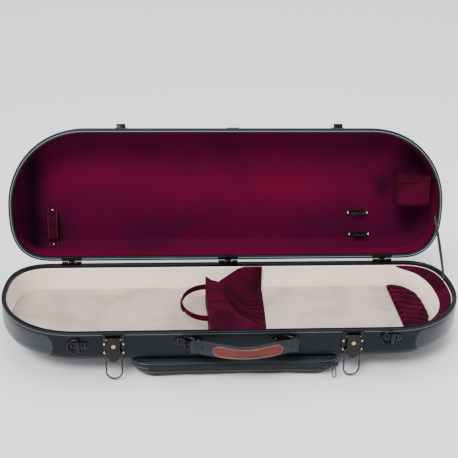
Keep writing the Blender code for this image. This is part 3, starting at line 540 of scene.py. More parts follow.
# repeated details along a path or on points
def makeRepeater(name, onPath):
    tree = bpy.data.node_groups.new(name, "GeometryNodeTree")
    tree.interface.new_socket("Geometry", in_out="INPUT", socket_type="NodeSocketGeometry")
    for label, kind in (("Spacing", "NodeSocketFloat"), ("Size", "NodeSocketVector"),
                        ("Turn", "NodeSocketRotation"), ("Finish", "NodeSocketMaterial")):
        tree.interface.new_socket(label, in_out="INPUT", socket_type=kind)
    tree.interface.new_socket("Geometry", in_out="OUTPUT", socket_type="NodeSocketGeometry")
    given, result = tree.nodes.new("NodeGroupInput"), tree.nodes.new("NodeGroupOutput")
    bead = addNode(tree, "GeometryNodeMeshUVSphere", inputs={"Segments": 12 if onPath else 20,
                   "Rings": 6 if onPath else 12, "Radius": 1.0})
    copies = addNode(tree, "GeometryNodeInstanceOnPoints", inputs={"Instance": bead.outputs[0],
                     "Scale": given.outputs["Size"]})
    if onPath:
        line = addNode(tree, "GeometryNodeMeshToCurve", inputs={"Mesh": given.outputs["Geometry"]})
        spots = addNode(tree, "GeometryNodeCurveToPoints", {"mode": "LENGTH"},
                        {"Curve": line.outputs[0], "Length": given.outputs["Spacing"]})
        tree.links.new(spots.outputs["Points"], copies.inputs["Points"])
        tree.links.new(spots.outputs["Rotation"], copies.inputs["Rotation"])
    else:
        tree.links.new(given.outputs["Geometry"], copies.inputs["Points"])
        tree.links.new(given.outputs["Turn"], copies.inputs["Rotation"])
    real = addNode(tree, "GeometryNodeRealizeInstances", inputs={0: copies.outputs[0]})
    final = addNode(tree, "GeometryNodeSetMaterial", inputs={"Geometry": real.outputs[0],
                    "Material": given.outputs["Finish"]})
    tree.links.new(final.outputs[0], result.inputs[0])
    return tree


beadTree = makeRepeater("beadsAlongPath", True)
rivetTree = makeRepeater("rivetsOnPoints", False)


def repeated(name, tree, points, look, body, slotName, size, spacing=0.0, turn=(0, 0, 0)):
    line = bpy.data.meshes.new("spots")
    edges = [(i, i + 1) for i in range(len(points) - 1)] if tree == beadTree else []
    line.from_pydata([tuple(p) for p in points], edges, [])
    thing = link("spots", line)
    step = thing.modifiers.new("Repeat", "NODES")
    step.node_group = tree
    sockets = {item.name: item.identifier for item in tree.interface.items_tree
               if item.in_out == "INPUT" and item.name != "Geometry"}
    for label, value in (("Spacing", spacing), ("Size", size), ("Turn", turn), ("Finish", looks[look])):
        step[sockets[label]] = value
    return place(name, evaluated(thing), look, body, slotName, (), 50)


def rivets(name, spots, matrix, look, body, slotName, size):
    repeated(name, rivetTree, [matrix @ Vector(spot) for spot in spots], look, body, slotName, size,
             turn=tuple(matrix.to_euler()))


# the half moon
moon = dict(widest=0.0984, front=(0.139, 0.1466, 2.04), back=(0.082, 0.0984, 2.78), cornerSteps=36,
            straightStep=0.012)


def cornerPoints(semi, turnX, turnY):
    a, b, power = semi
    found = []
    for step in range(moon["cornerSteps"] + 1):
        t = math.pi / 2 * step / moon["cornerSteps"]
        x, y = math.cos(t) ** (2 / power), math.sin(t) ** (2 / power)
        normal = Vector((x ** (power - 1) / a * turnX, y ** (power - 1) / b * turnY)).normalized()
        found.append((Vector((x * a * turnX, y * b * turnY)), normal))
    return found


def makeOutline():
    half = caseLength / 2
    outline = []
    for semi, turnX, turnY in ((moon["back"], 1, 1), (moon["back"], -1, 1), (moon["front"], -1, -1),
                               (moon["front"], 1, -1)):
        centre = Vector((turnX * (half - semi[0]), -moon["widest"]))
        points = cornerPoints(semi, turnX, turnY)
        if turnX * turnY < 0:
            points.reverse()
        for point, normal in points:
            spot = point + centre
            if outline:
                gap = spot - outline[-1][0]
                if gap.length < 1e-6:
                    continue
                extra = int(gap.length / moon["straightStep"]) if gap.length > 0.1 else 0
                start = outline[-1]
                for k in range(1, extra):
                    outline.append((start[0].lerp(spot, k / extra), start[1]))
            outline.append((spot, normal))
    outline.pop()
    return outline


outline = makeOutline()
outlineMiddle = Vector((0, -caseWidth / 2))


def ring(inset, z):
    return [Vector((*(point - normal * inset), z)) for point, normal in outline]


def shrunk(inset, share, z):                              # a ring drawn in towards the middle
    return [Vector((*(outlineMiddle + (point - normal * inset - outlineMiddle) * share), z))
            for point, normal in outline]


def quarterRound(start, radii, steps):
    return [(start[0] + radii[0] * (1 - math.cos(math.pi / 2 * i / steps)),
             start[1] + radii[1] * math.sin(math.pi / 2 * i / steps)) for i in range(1, steps + 1)]


def ripple(point, scale, amount):
    return noise.noise(Vector(point) * scale) * amount


# shells
shellSizes = dict(inset=0.0005, wall=0.0024, railHeight=0.006, gap=0.0003, depth=0.058, baseRound=0.022,
                  lidWall=0.0022, roundSteps=14, innerSteps=6)


def makeShells():
    s = shellSizes
    foot = -(s["depth"] - s["baseRound"])
    top = -s["railHeight"] - s["gap"]
    outer = [(s["inset"], mix(top, foot, k / 3)) for k in range(4)]
    outer += quarterRound(outer[-1], (s["baseRound"], -s["baseRound"]), s["roundSteps"])
    innerStart = s["inset"] + s["wall"]
    innerRound = s["baseRound"] - s["wall"]
    inner = [(innerStart, top), (innerStart, foot)]
    inner += quarterRound(inner[-1], (innerRound, -innerRound), s["innerSteps"])
    rows = [ring(*row) for row in reversed(outer)] + [ring(*row) for row in inner]
    place("base_shell_skin", moved(skin(rows, capped=True), onBase), "weave", "base", "shell",
          ["base_shell"])

    d = lidDepths
    outer = [d["wallFoot"], d["wallHead"], *quarterRound(d["wallHead"], d["round"], s["roundSteps"])]
    wall = s["lidWall"]
    inner = [(inset + wall, z) for inset, z in (d["wallFoot"], d["wallHead"])]
    inner += quarterRound(inner[-1], (d["round"][0] - wall, d["round"][1] - wall), s["innerSteps"])
    rows = [ring(*row) for row in reversed(outer)] + [ring(*row) for row in inner]
    place("lid_shell_skin", moved(skin(rows, capped=True), onLid), "weave", "lid", "shell", ["lid_shell"])


railSizes = dict(width=0.0078, edge=0.0013, hingeHalf=0.0187, hingeY=(-0.0095, 0.005),
                 baseSpan=(-0.006, 0.0), baseCut=(-0.00155, 0.004), baseHighlightZ=-0.0041,
                 lidSpan=(0.0003, 0.0063), lidCut=(-0.004, 0.00185), lidHighlightZ=0.0044,
                 lineInset=0.00035, lineRadius=0.0005,
                 groove=((0.0030, 0.0), (0.0031, -0.0014), (0.0049, -0.0014), (0.0050, 0.0)),
                 tongue=((0.0034, 0.0004), (0.0034, -0.0006), (0.0037, -0.0009), (0.0043, -0.0009),
                         (0.0046, -0.0006), (0.0046, 0.0004)))


def railSection(low, high, mouthUp):
    e, w = railSizes["edge"], railSizes["width"]
    points = []
    corners = ((e, high - e, 180), (w - e, high - e, 90), (w - e, low + e, 0), (e, low + e, -90))
    for cx, cy, start in corners:
        if (cy < (low + high) / 2) == mouthUp:            # the side against the shell stays square
            points.append((0 if cx == e else w, low if mouthUp else high))
            continue
        for step in range(5):
            angle = math.radians(start - 22.5 * step)
            points.append((cx + e * math.cos(angle), cy + e * math.sin(angle)))
        if mouthUp and start == 180:
            points += [(inset, high + z) for inset, z in railSizes["groove"]]
    return points


def makeRails():
    r = railSizes
    hinges = [(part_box(f"hinge_pin_{side}")[0].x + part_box(f"hinge_pin_{side}")[1].x) / 2
              for side in ("left", "middle", "right")]

    def notched(band, cut):                               # room for the hinge leaves
        return carved(band, cut=[block((x - r["hingeHalf"], r["hingeY"][0], cut[0]),
                                       (x + r["hingeHalf"], r["hingeY"][1], cut[1])) for x in hinges])

    for name, span, cut, matrix, body in (("base_rail", r["baseSpan"], r["baseCut"], onBase, "base"),
                                          ("lid_rail", r["lidSpan"], r["lidCut"], onLid, "lid")):
        band = skin([ring(*point) for point in railSection(*span, body == "base")], closes=True)
        place(name + "_profile", moved(notched(band, cut), matrix), "rail", body, "rail", [name], 50)
    # the tongue and the thin beads along both rails take a light look, a painted highlight
    tongue = notched(skin([ring(*point) for point in r["tongue"]], closes=True), r["lidCut"])
    place("lid_rail_tongue", moved(tongue, onLid), "railLine", "lid", "rail", (), 50)
    # thin beads painted light as the rails' highlight lines
    for name, z, matrix, body in (("base_rail_highlight_bead", r["baseHighlightZ"], onBase, "base"),
                                  ("lid_rail_highlight_bead", r["lidHighlightZ"], onLid, "lid")):
        bead = [(r["lineInset"] + r["lineRadius"] * math.cos(a), z + r["lineRadius"] * math.sin(a))
                for a in (math.radians(60 * k) for k in range(6))]
        place(name, moved(skin([ring(*point) for point in bead], closes=True), matrix), "railLine", body,
              "rail", (), 60)


def outlineLengths():
    lengths = [0.0]
    for (a, _), (b, _) in zip(outline, outline[1:] + outline[:1]):
        lengths.append(lengths[-1] + (b - a).length)
    return lengths


outlineAt = outlineLengths()


def along(distance):
    total = outlineAt[-1]
    distance %= total
    i = next(k for k in range(len(outline)) if outlineAt[k + 1] >= distance)
    share = (distance - outlineAt[i]) / (outlineAt[i + 1] - outlineAt[i])
    (a, na), (b, nb) = outline[i], outline[(i + 1) % len(outline)]
    return a.lerp(b, share), na.lerp(nb, share).normalized()


def arcNear(x, y):
    spot = Vector((x, y))
    best = min(range(len(outline)), key=lambda i: (outline[i][0] - spot).length)
    return outlineAt[best]


guardSizes = dict(frontX=0.316, endY=-0.110, top=-0.0085, wallRows=8, tongue=0.030, setBack=0.012,
                  tongueShape=(0.30, 0.42), endShape=(0.35, 0.67), proud=0.0005, buried=0.0003,
                  relief=0.0003, thick=0.0004, across=56, down=18)


def domed(value, middle, spread):
    return math.sqrt(max(0.0, 1 - ((value - middle) / spread) ** 2))


def makeCornerGuards():                                   # smooth moulded corners that end the weave
    g, s = guardSizes, shellSizes
    foot = -(s["depth"] - s["baseRound"])
    last = g["wallRows"] - 1
    section = [(s["inset"], mix(g["top"], foot, k / last)) for k in range(g["wallRows"])]
    section += quarterRound(section[-1], (s["baseRound"], -s["baseRound"]), g["down"] - g["wallRows"])
    for side, name in ((-1, "left"), (1, "right")):
        atFront, atEnd = arcNear(side * g["frontX"], -caseWidth), arcNear(side * caseLength / 2, g["endY"])
        if side > 0 and atEnd < atFront:
            atEnd += outlineAt[-1]
        rows = []
        for j, (inset, z) in enumerate(section):
            v = j / (len(section) - 1)
            start = atFront - side * (domed(v, *g["tongueShape"]) * g["tongue"] - g["setBack"])
            finish = atEnd + side * (domed(v, *g["endShape"]) - 0.5) * g["tongue"]
            row = []
            for i in range(g["across"] + 1):
                u = i / g["across"]
                point, normal = along(mix(start, finish, u))
                border = min(1.0, 14 * u, 14 * (1 - u), 9 * v, 9 * (1 - v))
                lift = mix(-g["buried"], g["proud"], eased(border))
                lift += g["relief"] * math.sin(9 * u) * math.sin(6 * v) * border
                under = math.sin(math.pi / 2 * max(0.0, (j - last) / (len(section) - g["wallRows"])))
                out = lift * (1 - under)
                row.append(Vector((*(point - normal * (inset - out)), z - lift * under)))
            rows.append(row)
        mesh = baked(merged(skin(rows, goesRound=False)),
                     ("SOLIDIFY", {"thickness": g["thick"], "offset": 0.0}))
        place(f"corner_guard_{name}", moved(mesh, onBase), "smoothShell", "base", "shell", (), 60)


# linings
baseLining = dict(
    hidden=((0.0033, -0.0066), (0.0033, -0.036), (0.0046, -0.0425), (0.0066, -0.0468), (0.0098, -0.0504),
            (0.0123, -0.0522)),
    foot=(0.0124, -0.0462), head=(0.0087, -0.0078), steps=14,
    lip=((0.0081, -0.0068), (0.0072, -0.0064), (0.0055, -0.0063)), broadRipple=0.0009, fineRipple=0.0004,
    floorEdge=((0.0210, -0.0552), (0.0127, -0.0524), (0.0126, -0.0495), (0.0128, -0.0481),
               (0.0136, -0.0473), (0.0155, -0.0469)),
    floorRings=(0.97, 0.93, 0.88, 0.82, 0.75, 0.67, 0.58, 0.48, 0.37, 0.25, 0.12),
    floorBroad=0.0005, floorFine=0.0003)


def makeBaseLining():
    b = baseLining
    steps = b["steps"]
    inner = [(mix(b["foot"][0], b["head"][0], eased(k / steps) ** 0.7),
              mix(b["foot"][1], b["head"][1], k / steps)) for k in range(steps + 1)]
    rows = [ring(*row) for row in b["hidden"]]
    for k, (inset, z) in enumerate([*inner, *b["lip"]]):
        soft = math.sin(math.pi * min(1.0, k / steps))
        rows.append([Vector((*(point - normal * (inset + ripple((*point, z), 14, b["broadRipple"]) * soft
                     + ripple((*point, z * 0.4), 38, b["fineRipple"]) * soft)), z))
                     for point, normal in outline])
    piece = place("base_wall_padding", moved(skin(rows, closes=True), onBase), "cream", "base", "cream",
                  ["base_wall_lining"], 60)

    rows = [ring(*row) for row in b["floorEdge"]]
    inset, z = b["floorEdge"][-1]
    for share in b["floorRings"]:
        rows.append([p + Vector((0, 0, ripple(p, 16, b["floorBroad"]) + ripple(p, 55, b["floorFine"])))
                     for p in shrunk(inset, share, z)])
    piece = place("base_floor_velour", moved(skin(rows, capped=True), onBase), "floor", "base", "floor",
                  ["base_floor_pad"], 60)


# painted light on the lid velvet: a lit band at mid-height, darker below it, painted shade at the left end
# and on the wall, painted shadows beside the tip loop and around the pocket
lidPaintedLight = dict(wallHead=0.0285, litBandLevel=0.125, litBandRise=0.035, litBandWidth=0.034, tone=0.50, lift=0.17,
               drop=0.03,
               leftPaintedShade=(-0.357, 0.021, 0.9), wallTone=0.62, wallPaintedShade=0.2,
               paintedShades=((-0.303, 0.058, 0.012, 0.035, 0.55), (0.296, 0.130, 0.018, 0.026, 0.75),
                       (0.350, 0.185, 0.026, 0.030, 0.8), (0.350, 0.065, 0.024, 0.030, 0.8)))


def paintedPileLight(point):                                       # painted light and shade: 0 painted shade, 1 painted highlight
    p = lidPaintedLight
    up = -point.y
    wall = 1 - eased((point.z - p["wallHead"]) / 0.004)
    litBandLevel = p["litBandLevel"] + p["litBandRise"] * eased((-0.05 - point.x) / 0.25)
    band = math.exp(-((up - litBandLevel) / p["litBandWidth"]) ** 2)
    back = p["tone"] + p["lift"] * band - p["drop"] * eased((litBandLevel - 0.03 - up) / 0.05)
    # painted shade at the left end
    x, wide, amount = p["leftPaintedShade"]
    back *= 1 - amount * math.exp(-((point.x - x) / wide) ** 2)
    # painted shadows beside the tip loop and above, below and left of the pocket
    for x, level, wide, tall, amount in p["paintedShades"]:
        back *= 1 - amount * math.exp(-((point.x - x) / wide) ** 2 - ((up - level) / tall) ** 2)
    # painted shade on the wall, darker towards its upper part and the left end
    wallShade = eased((up - 0.10) / 0.05) + eased((-point.x - 0.33) / 0.03)
    return mix(back, p["wallTone"] - p["wallPaintedShade"] * wallShade, wall)


lidLining = dict(hidden=((0.0031, 0.0069), (0.0073, 0.030)), hiddenRound=(0.0217, 0.0213),
                 lip=((0.0076, 0.0066), (0.0086, 0.0068), (0.0090, 0.0082)),
                 seam=((-0.0006, 0.0002), (-0.0009, 0.0006), (0.0002, 0.0012)), backStart=0.0010,
                 rings=(0.985, 0.96, 0.92, 0.87, 0.80, 0.72, 0.62, 0.51, 0.39, 0.26, 0.12), ripple=0.0005)


def makeLidLining():
    d, p = lidDepths, lidLining
    hidden = [*p["hidden"], *quarterRound(p["hidden"][-1], p["hiddenRound"], 8)]
    lip, head = p["lip"][-1], d["liningHead"]
    face = [*p["lip"], *((mix(lip[0], head[0], k / 5), mix(lip[1], head[1], k / 5)) for k in range(1, 6))]
    face += [(head[0] + inset, head[1] + z) for inset, z in p["seam"]]
    face += quarterRound(head, (d["liningRound"], d["back"] - head[1]), 10)[1:]
    rows = [ring(*row) for row in reversed(hidden)] + [ring(*row) for row in face]
    inset = face[-1][0] + p["backStart"]
    for share in p["rings"]:
        level = shrunk(inset, share, d["back"])
        rows.append([Vector((q.x, q.y, q.z + ripple(q, 7, p["ripple"]))) for q in level])
    mesh = skin(rows, capped=True)
    # painted light and shade are stored per point
    layer = mesh.attributes.new("lay", "FLOAT", "POINT")
    for vert, value in zip(mesh.vertices, layer.data):
        value.value = paintedPileLight(vert.co)
    piece = place("lid_velvet", moved(mesh, onLid), "lidVelvet", "lid", "velvet", ["lid_lining"], 60)


def bodyEndArc():
    front = [pair for pair in outline if pair[0].x > 0.27 and pair[0].y < -moon["widest"] - 0.001]
    back = [pair for pair in outline if pair[0].x > 0.31 and pair[0].y >= -moon["widest"] - 0.001]
    return sorted(front, key=lambda pair: pair[0].y) + sorted(back, key=lambda pair: pair[0].y)


bodyEnd = dict(panelWall=0.0131, footSwell=0.0215, footLean=0.012, topSwell=0.0105, topLean=0.0125,
               floor=-0.0467, level=-0.0080, levelSag=0.0085, crown=0.0016, straightX=0.2915, padGap=0.0150)
pleatedPad = dict(pleats=11, height=0.0066, skirt=0.0008, soft=0.009, rows=60, columns=20, voxel=0.0032,
                  swell=0.0016, fan=0.30, wander=0.005, press=0.72)


def makeBodyEnd():
    e = bodyEnd
    arc = bodyEndArc()
    panel, shoulder = [], []
    for step, (point, normal) in enumerate(arc):
        share = step / (len(arc) - 1)
        swell = math.sin(math.pi * share) ** 0.55
        foot = e["panelWall"] + (e["footSwell"] + e["footLean"] * share) * swell
        top = e["panelWall"] + (e["topSwell"] + e["topLean"] * share) * swell
        level = e["level"] - e["levelSag"] * swell
        floor = e["floor"]
        face = []
        for k in range(9):
            v = k / 8
            wave = ripple((*point, v * 0.03), 26, 0.0008) * math.sin(math.pi * v)
            face.append((mix(foot, top, v) + 0.0008 * math.sin(math.pi * v) + wave, mix(floor, level, v)))
        face[-1] = (face[-1][0] - 0.0008, level + 0.0001)
        section = [(0.0130, floor), *face, (0.0112, level)]
        panel.append([Vector((*(point - normal * inset), z)) for inset, z in section])
        crown = [(mix(top + 0.0006, 0.0098, k / 8), mix(level + 0.0004, -0.0064, k / 8)
                  + e["crown"] * math.sin(math.pi * k / 8)) for k in range(9)]
        section = [(0.0112, level + 0.0004), *crown, (0.0090, -0.0068)]
        shoulder.append([Vector((*(point - normal * inset), z)) for inset, z in section])
    for name, rows, look, nodeName in (("end_panel_padding", panel, "cream", "end_panel"),
                                       ("end_shoulder_velvet", shoulder, "velvet", "end_shoulder")):
        piece = place(name, moved(skin(rows, capped=True), onBase), look, "base", look, [nodeName], 50)

    rim = []
    for step, (point, normal) in enumerate(arc):
        share = step / (len(arc) - 1)
        lean = (e["footSwell"] + e["footLean"] * share) * math.sin(math.pi * share) ** 0.55
        inside = point - normal * (e["padGap"] + lean)
        if inside.x > e["straightX"] + 0.004:
            rim.append(inside)
    pad = pleatedPad
    low, high, left, floor = rim[0].y, rim[-1].y, e["straightX"], e["floor"]

    def padRight(y):
        k = next((i for i in range(1, len(rim)) if rim[i].y >= y - 1e-9), len(rim) - 1)
        return mix(rim[k - 1].x, rim[k].x, (y - rim[k - 1].y) / (rim[k].y - rim[k - 1].y))

    rows = []
    for j in range(pad["rows"] + 1):
        y = mix(low, high, 0.5 - 0.5 * math.cos(math.pi * j / pad["rows"]))
        right = padRight(y)
        top = []
        for i in range(pad["columns"] + 1):
            x = mix(left, right, i / pad["columns"])
            border = min(x - left, right - x, (y - low) * 1.2, (high - y) * 1.2)
            rise = pad["height"] * math.sqrt(eased(border / pad["soft"]))
            top.append(Vector((x, y, floor + pad["skirt"] + rise)))
        rows.append(top + [Vector((p.x, p.y, floor)) for p in reversed(top)])
    mesh = puffed(skin(rows, capped=True), pad["voxel"], pad["swell"])
    mesh = baked(mesh, ("SUBSURF", {"levels": 1, "render_levels": 1}))
    valleyShade = []
    for vert in mesh.vertices:                            # the sewn pleats come after the swelling
        x, y, z = vert.co
        border = min(x - left, padRight(min(high, max(low, y))) - x, y - low, high - y)
        fan = y + (x - left) * pad["fan"] + ripple((x, y, 0), 22, pad["wander"])
        wave = abs(math.sin(math.pi * pad["pleats"] * (fan - low) / (high - low))) ** 0.45
        share = (1 - wave) * eased(border / 0.006) * eased((z - floor) / 0.004)
        vert.co.z = max(floor, z - pad["press"] * pad["height"] * share)
        # the same share is stored as painted shade in the pleat valleys
        valleyShade.append(min(1.0, share * 1.1))
    paintShade(mesh, valleyShade)
    piece = place("end_pad_pleated", moved(mesh, onBase), "velvet", "base", "velvet", ["end_pad"], 70)


# neck cradle
cradle = dict(
    notch=(-0.0210, -0.0580, -0.0105), apex=(-0.0060, -0.1130, -0.0215),
    ridge=((-0.0210, -0.0580, -0.0105), (0.0160, -0.0205, -0.0045), (0.0270, -0.0142, -0.0036),
           (0.0620, -0.0138, -0.0036)),
    backFloor=(0.0615, -0.0165, -0.0452), middleFloor=(0.0590, -0.1200, -0.0462),
    frontFloor=(0.0540, -0.2310, -0.0464),
    flapEdge=((-0.0060, -0.1130, -0.0215), (0.0060, -0.1600, -0.0140), (0.0250, -0.1950, -0.0105),
              (0.0500, -0.2310, -0.0085)),
    leftFront=((-0.0420, -0.1110, -0.0205), (-0.0425, -0.1500, -0.0125), (-0.0415, -0.1900, -0.0085),
               (-0.0400, -0.2310, -0.0065)),
    leftBack=((-0.0420, -0.1110, -0.0205), (-0.0440, -0.0850, -0.0150), (-0.0440, -0.0620, -0.0100),
              (-0.0435, -0.0450, -0.0045)),
    pleats=12, pleatDepth=0.0052, cells=28, fine=144, foot=-0.0467)


def onLine(points, share):
    points = [Vector(p) for p in points]
    spot = share * (len(points) - 1)
    i = min(len(points) - 2, int(spot))
    return points[i].lerp(points[i + 1], spot - i)


def onCurve(points, share):
    found = smoothPath(points, steps=12)
    return onLine(found, share)


def makeCradle():
    c = cradle
    n = c["cells"]
    apex, notch = Vector(c["apex"]), Vector(c["notch"])

    # each patch gives a point and its painted shade
    def funnel(t, s):
        edge = onCurve((c["backFloor"], c["middleFloor"], c["frontFloor"]), s)
        point = apex.lerp(edge, t)
        point.z = mix(apex.z, edge.z, t ** 0.5)
        wave = abs(math.sin(math.pi * c["pleats"] * s)) ** 0.5 - 0.5
        swell = math.sin(math.pi * min(1.0, t ** 0.6 * 0.94)) ** 0.5 * math.sin(math.pi * s) ** 0.25
        point.z += c["pleatDepth"] * wave * swell
        # painted shade in the pleat valleys, and darker towards the front floor
        return point, (0.5 - wave) * swell * 0.9 + 0.25 * math.sin(math.pi * min(1.0, t * 1.2)) * s

    def backPanel(t, s):
        top = onLine(c["ridge"], t) if t > 0 else notch
        point = top.lerp(funnel(t, 0.0)[0], s)
        bulge = math.sin(math.pi * s) * math.sin(math.pi * t) ** 0.6
        # painted shade, darker towards the funnel
        return point + Vector((-0.001, -0.003, 0.0045)) * bulge, 0.35 * s ** 3

    def flapTop(t, s):
        point = onCurve(c["leftFront"], t).lerp(onCurve(c["flapEdge"], t), s)
        puff = math.sin(math.pi * s) * math.sin(math.pi * min(1, t * 1.1)) ** 0.7
        # painted shade near the apex
        return point + Vector((0, 0, 0.0030)) * puff, 0.5 * math.exp(-(t / 0.04) ** 2)

    def curtain(t, s):
        # an even painted shade under the flap edge
        return onCurve(c["flapEdge"], t).lerp(funnel(t, 1.0)[0], s), 0.6

    def backFlap(t, s):
        point = onCurve(c["leftBack"], t).lerp(apex.lerp(notch, t), s)
        dip = math.sin(math.pi * min(1.0, s * 1.15)) * eased(t * 2 - 1) * -0.0025
        swell = math.sin(math.pi * s) * math.sin(math.pi * t) * 0.0022
        # painted shade near the apex
        return point + Vector((0, 0, dip + swell)), 0.5 * math.exp(-(t / 0.05) ** 2)

    bm = bmesh.new()
    # painted shade per point
    paintedShades = bm.verts.layers.float.new("paintedShade")
    for patch in (funnel, backPanel, flapTop, curtain, backFlap):
        m = c["fine"] if patch == funnel else n
        grid = []
        for i in range(n + 1):
            grid.append([])
            for j in range(m + 1):
                point, paintedShade = patch(i / n, j / m)
                grid[-1].append(bm.verts.new(point))
                grid[-1][-1][paintedShades] = max(0.0, min(1.0, paintedShade))
        for i in range(n):
            for j in range(m):
                bm.faces.new((grid[i][j], grid[i + 1][j], grid[i + 1][j + 1], grid[i][j + 1]))
    bmesh.ops.remove_doubles(bm, verts=bm.verts, dist=0.00004)
    bmesh.ops.dissolve_degenerate(bm, edges=bm.edges, dist=1e-6)
    border = [edge for edge in bm.edges if edge.is_boundary]
    grown = bmesh.ops.extrude_edge_only(bm, edges=border)["geom"]
    for vert in (item for item in grown if isinstance(item, bmesh.types.BMVert)):
        vert.co.z = c["foot"]
    bmesh.ops.holes_fill(bm, edges=[edge for edge in bm.edges if edge.is_boundary], sides=0)
    bmesh.ops.triangulate(bm, faces=[face for face in bm.faces if len(face.verts) > 4])
    bmesh.ops.recalc_face_normals(bm, faces=bm.faces)
    mesh = bpy.data.meshes.new("cradle")
    bm.to_mesh(mesh)
    bm.free()
    piece = place("neck_cradle_velvet", moved(mesh, onBase), "velvet", "base", "velvet",
                  ["neck_cradle", "cradle_back_wedge"], 55)


strapLoop = dict(middle=(-0.0428, -0.1210), reach=0.0442, half=0.0552, low=-0.0215, tall=0.0105,
                 thick=0.0017)


def ribbon(startAngle, endAngle, grow, lowEdge, highEdge, steps=40):
    p = strapLoop
    rows = []
    for step in range(steps + 1):
        angle = math.radians(mix(startAngle, endAngle, step / steps))
        way = Vector((math.cos(angle), math.sin(angle)))
        lean = 0.0010 * math.sin(angle * 2)
        section = []
        for side, z in ((0.25, lowEdge), (0.75, lowEdge), (1, lowEdge + 0.0006), (1, highEdge - 0.0006),
                        (0.75, highEdge), (0.25, highEdge), (0, highEdge - 0.0006), (0, lowEdge + 0.0006)):
            out = grow + side * p["thick"] + lean * (z - lowEdge) / p["tall"]
            section.append(Vector((p["middle"][0] + way.x * (p["reach"] + out),
                                   p["middle"][1] + way.y * (p["half"] + out), z)))
        rows.append(section)
    return skin(rows, capped=True)


def makeCradleStrap():
    p = strapLoop
    band = ribbon(90, 270, -0.0010, p["low"], p["low"] + p["tall"])
    place("cradle_strap_band", moved(band, onBase), "velvet", "base", "velvet", ["cradle_strap"], 50)
    tab = ribbon(176, 205, 0.0010, p["low"] - 0.0006, p["low"] + p["tall"] + 0.0004, 16)
    place("cradle_strap_tab", moved(tab, onBase), "velvet", "base", "velvet", (), 50)


# lid fittings
def lidLift(v):
    d = lidDepths
    share = min(1.0, max(0.0, (v - d["liningHead"][0]) / d["liningRound"]))
    return (d["back"] - d["liningHead"][1]) * (1 - math.sqrt(1 - (1 - share) ** 2))


tipLoop = dict(u=-0.3225, low=0.0150, high=0.0895, half=0.0090, thick=0.0017, rise=0.0080)


def makeTipLoop():
    p = tipLoop
    arch = [(p["low"], 0.0), (p["low"] + 0.008, 0.0), (p["low"] + 0.017, p["rise"]),
            (mix(p["low"], p["high"], 0.5), p["rise"] + 0.0006), (p["high"] - 0.017, p["rise"]),
            (p["high"] - 0.009, 0.0), (p["high"], 0.0)]
    line = smoothPath([(v, w, 0) for v, w in arch], steps=8)
    under = [(point.x, max(point.y, lidLift(point.x), 0) + 0.0011) for point in line]
    rows = []
    for across, thick in ((-1, 0.5), (-0.96, 1), (-0.5, 1.08), (0, 1.1), (0.5, 1.08), (0.96, 1), (1, 0.5)):
        rows.append([(p["u"] + across * p["half"], v, w + p["thick"] * thick) for v, w in under])
    for across, thick in ((0.96, 0), (0, 0), (-0.96, 0)):
        rows.append([(p["u"] + across * p["half"], v, w + p["thick"] * thick) for v, w in under])
    strap = merged(skin([list(map(Vector, row)) for row in rows], goesRound=False, closes=True))
    bm = bmesh.new()
    bm.from_mesh(strap)
    bmesh.ops.holes_fill(bm, edges=[edge for edge in bm.edges if edge.is_boundary], sides=0)
    bmesh.ops.recalc_face_normals(bm, faces=bm.faces)
    bm.to_mesh(strap)
    bm.free()
    place("bow_tip_strap", moved(strap, onLidBack), "velvet", "lid", "velvet", ["bow_tip_loop"], 50)
    ends = [under[4], under[-6]]
    spots = [(p["u"], v, w + p["thick"]) for v, w in ends]
    rivets("bow_tip_rivets", spots, onLidBack, "nickel", "lid", "nickel", (0.0019, 0.0019, 0.0011))
    for side in (-1, 1):
        edge = [onLidBack @ Vector((p["u"] + side * (p["half"] - 0.0012), v, w + p["thick"] * 1.05))
                for v, w in under]
        repeated(f"bow_tip_stitching_{'left' if side < 0 else 'right'}", beadTree, edge, "piping", "lid",
                 "velvet", (0.00022, 0.00022, 0.0009), spacing=0.0028)


pocket = dict(left=0.3115, right=0.3730, low=0.1000, high=0.1540, front=0.0370, coverRight=0.3520,
              wall=0.0030, folds=9, foldDepth=0.0011)


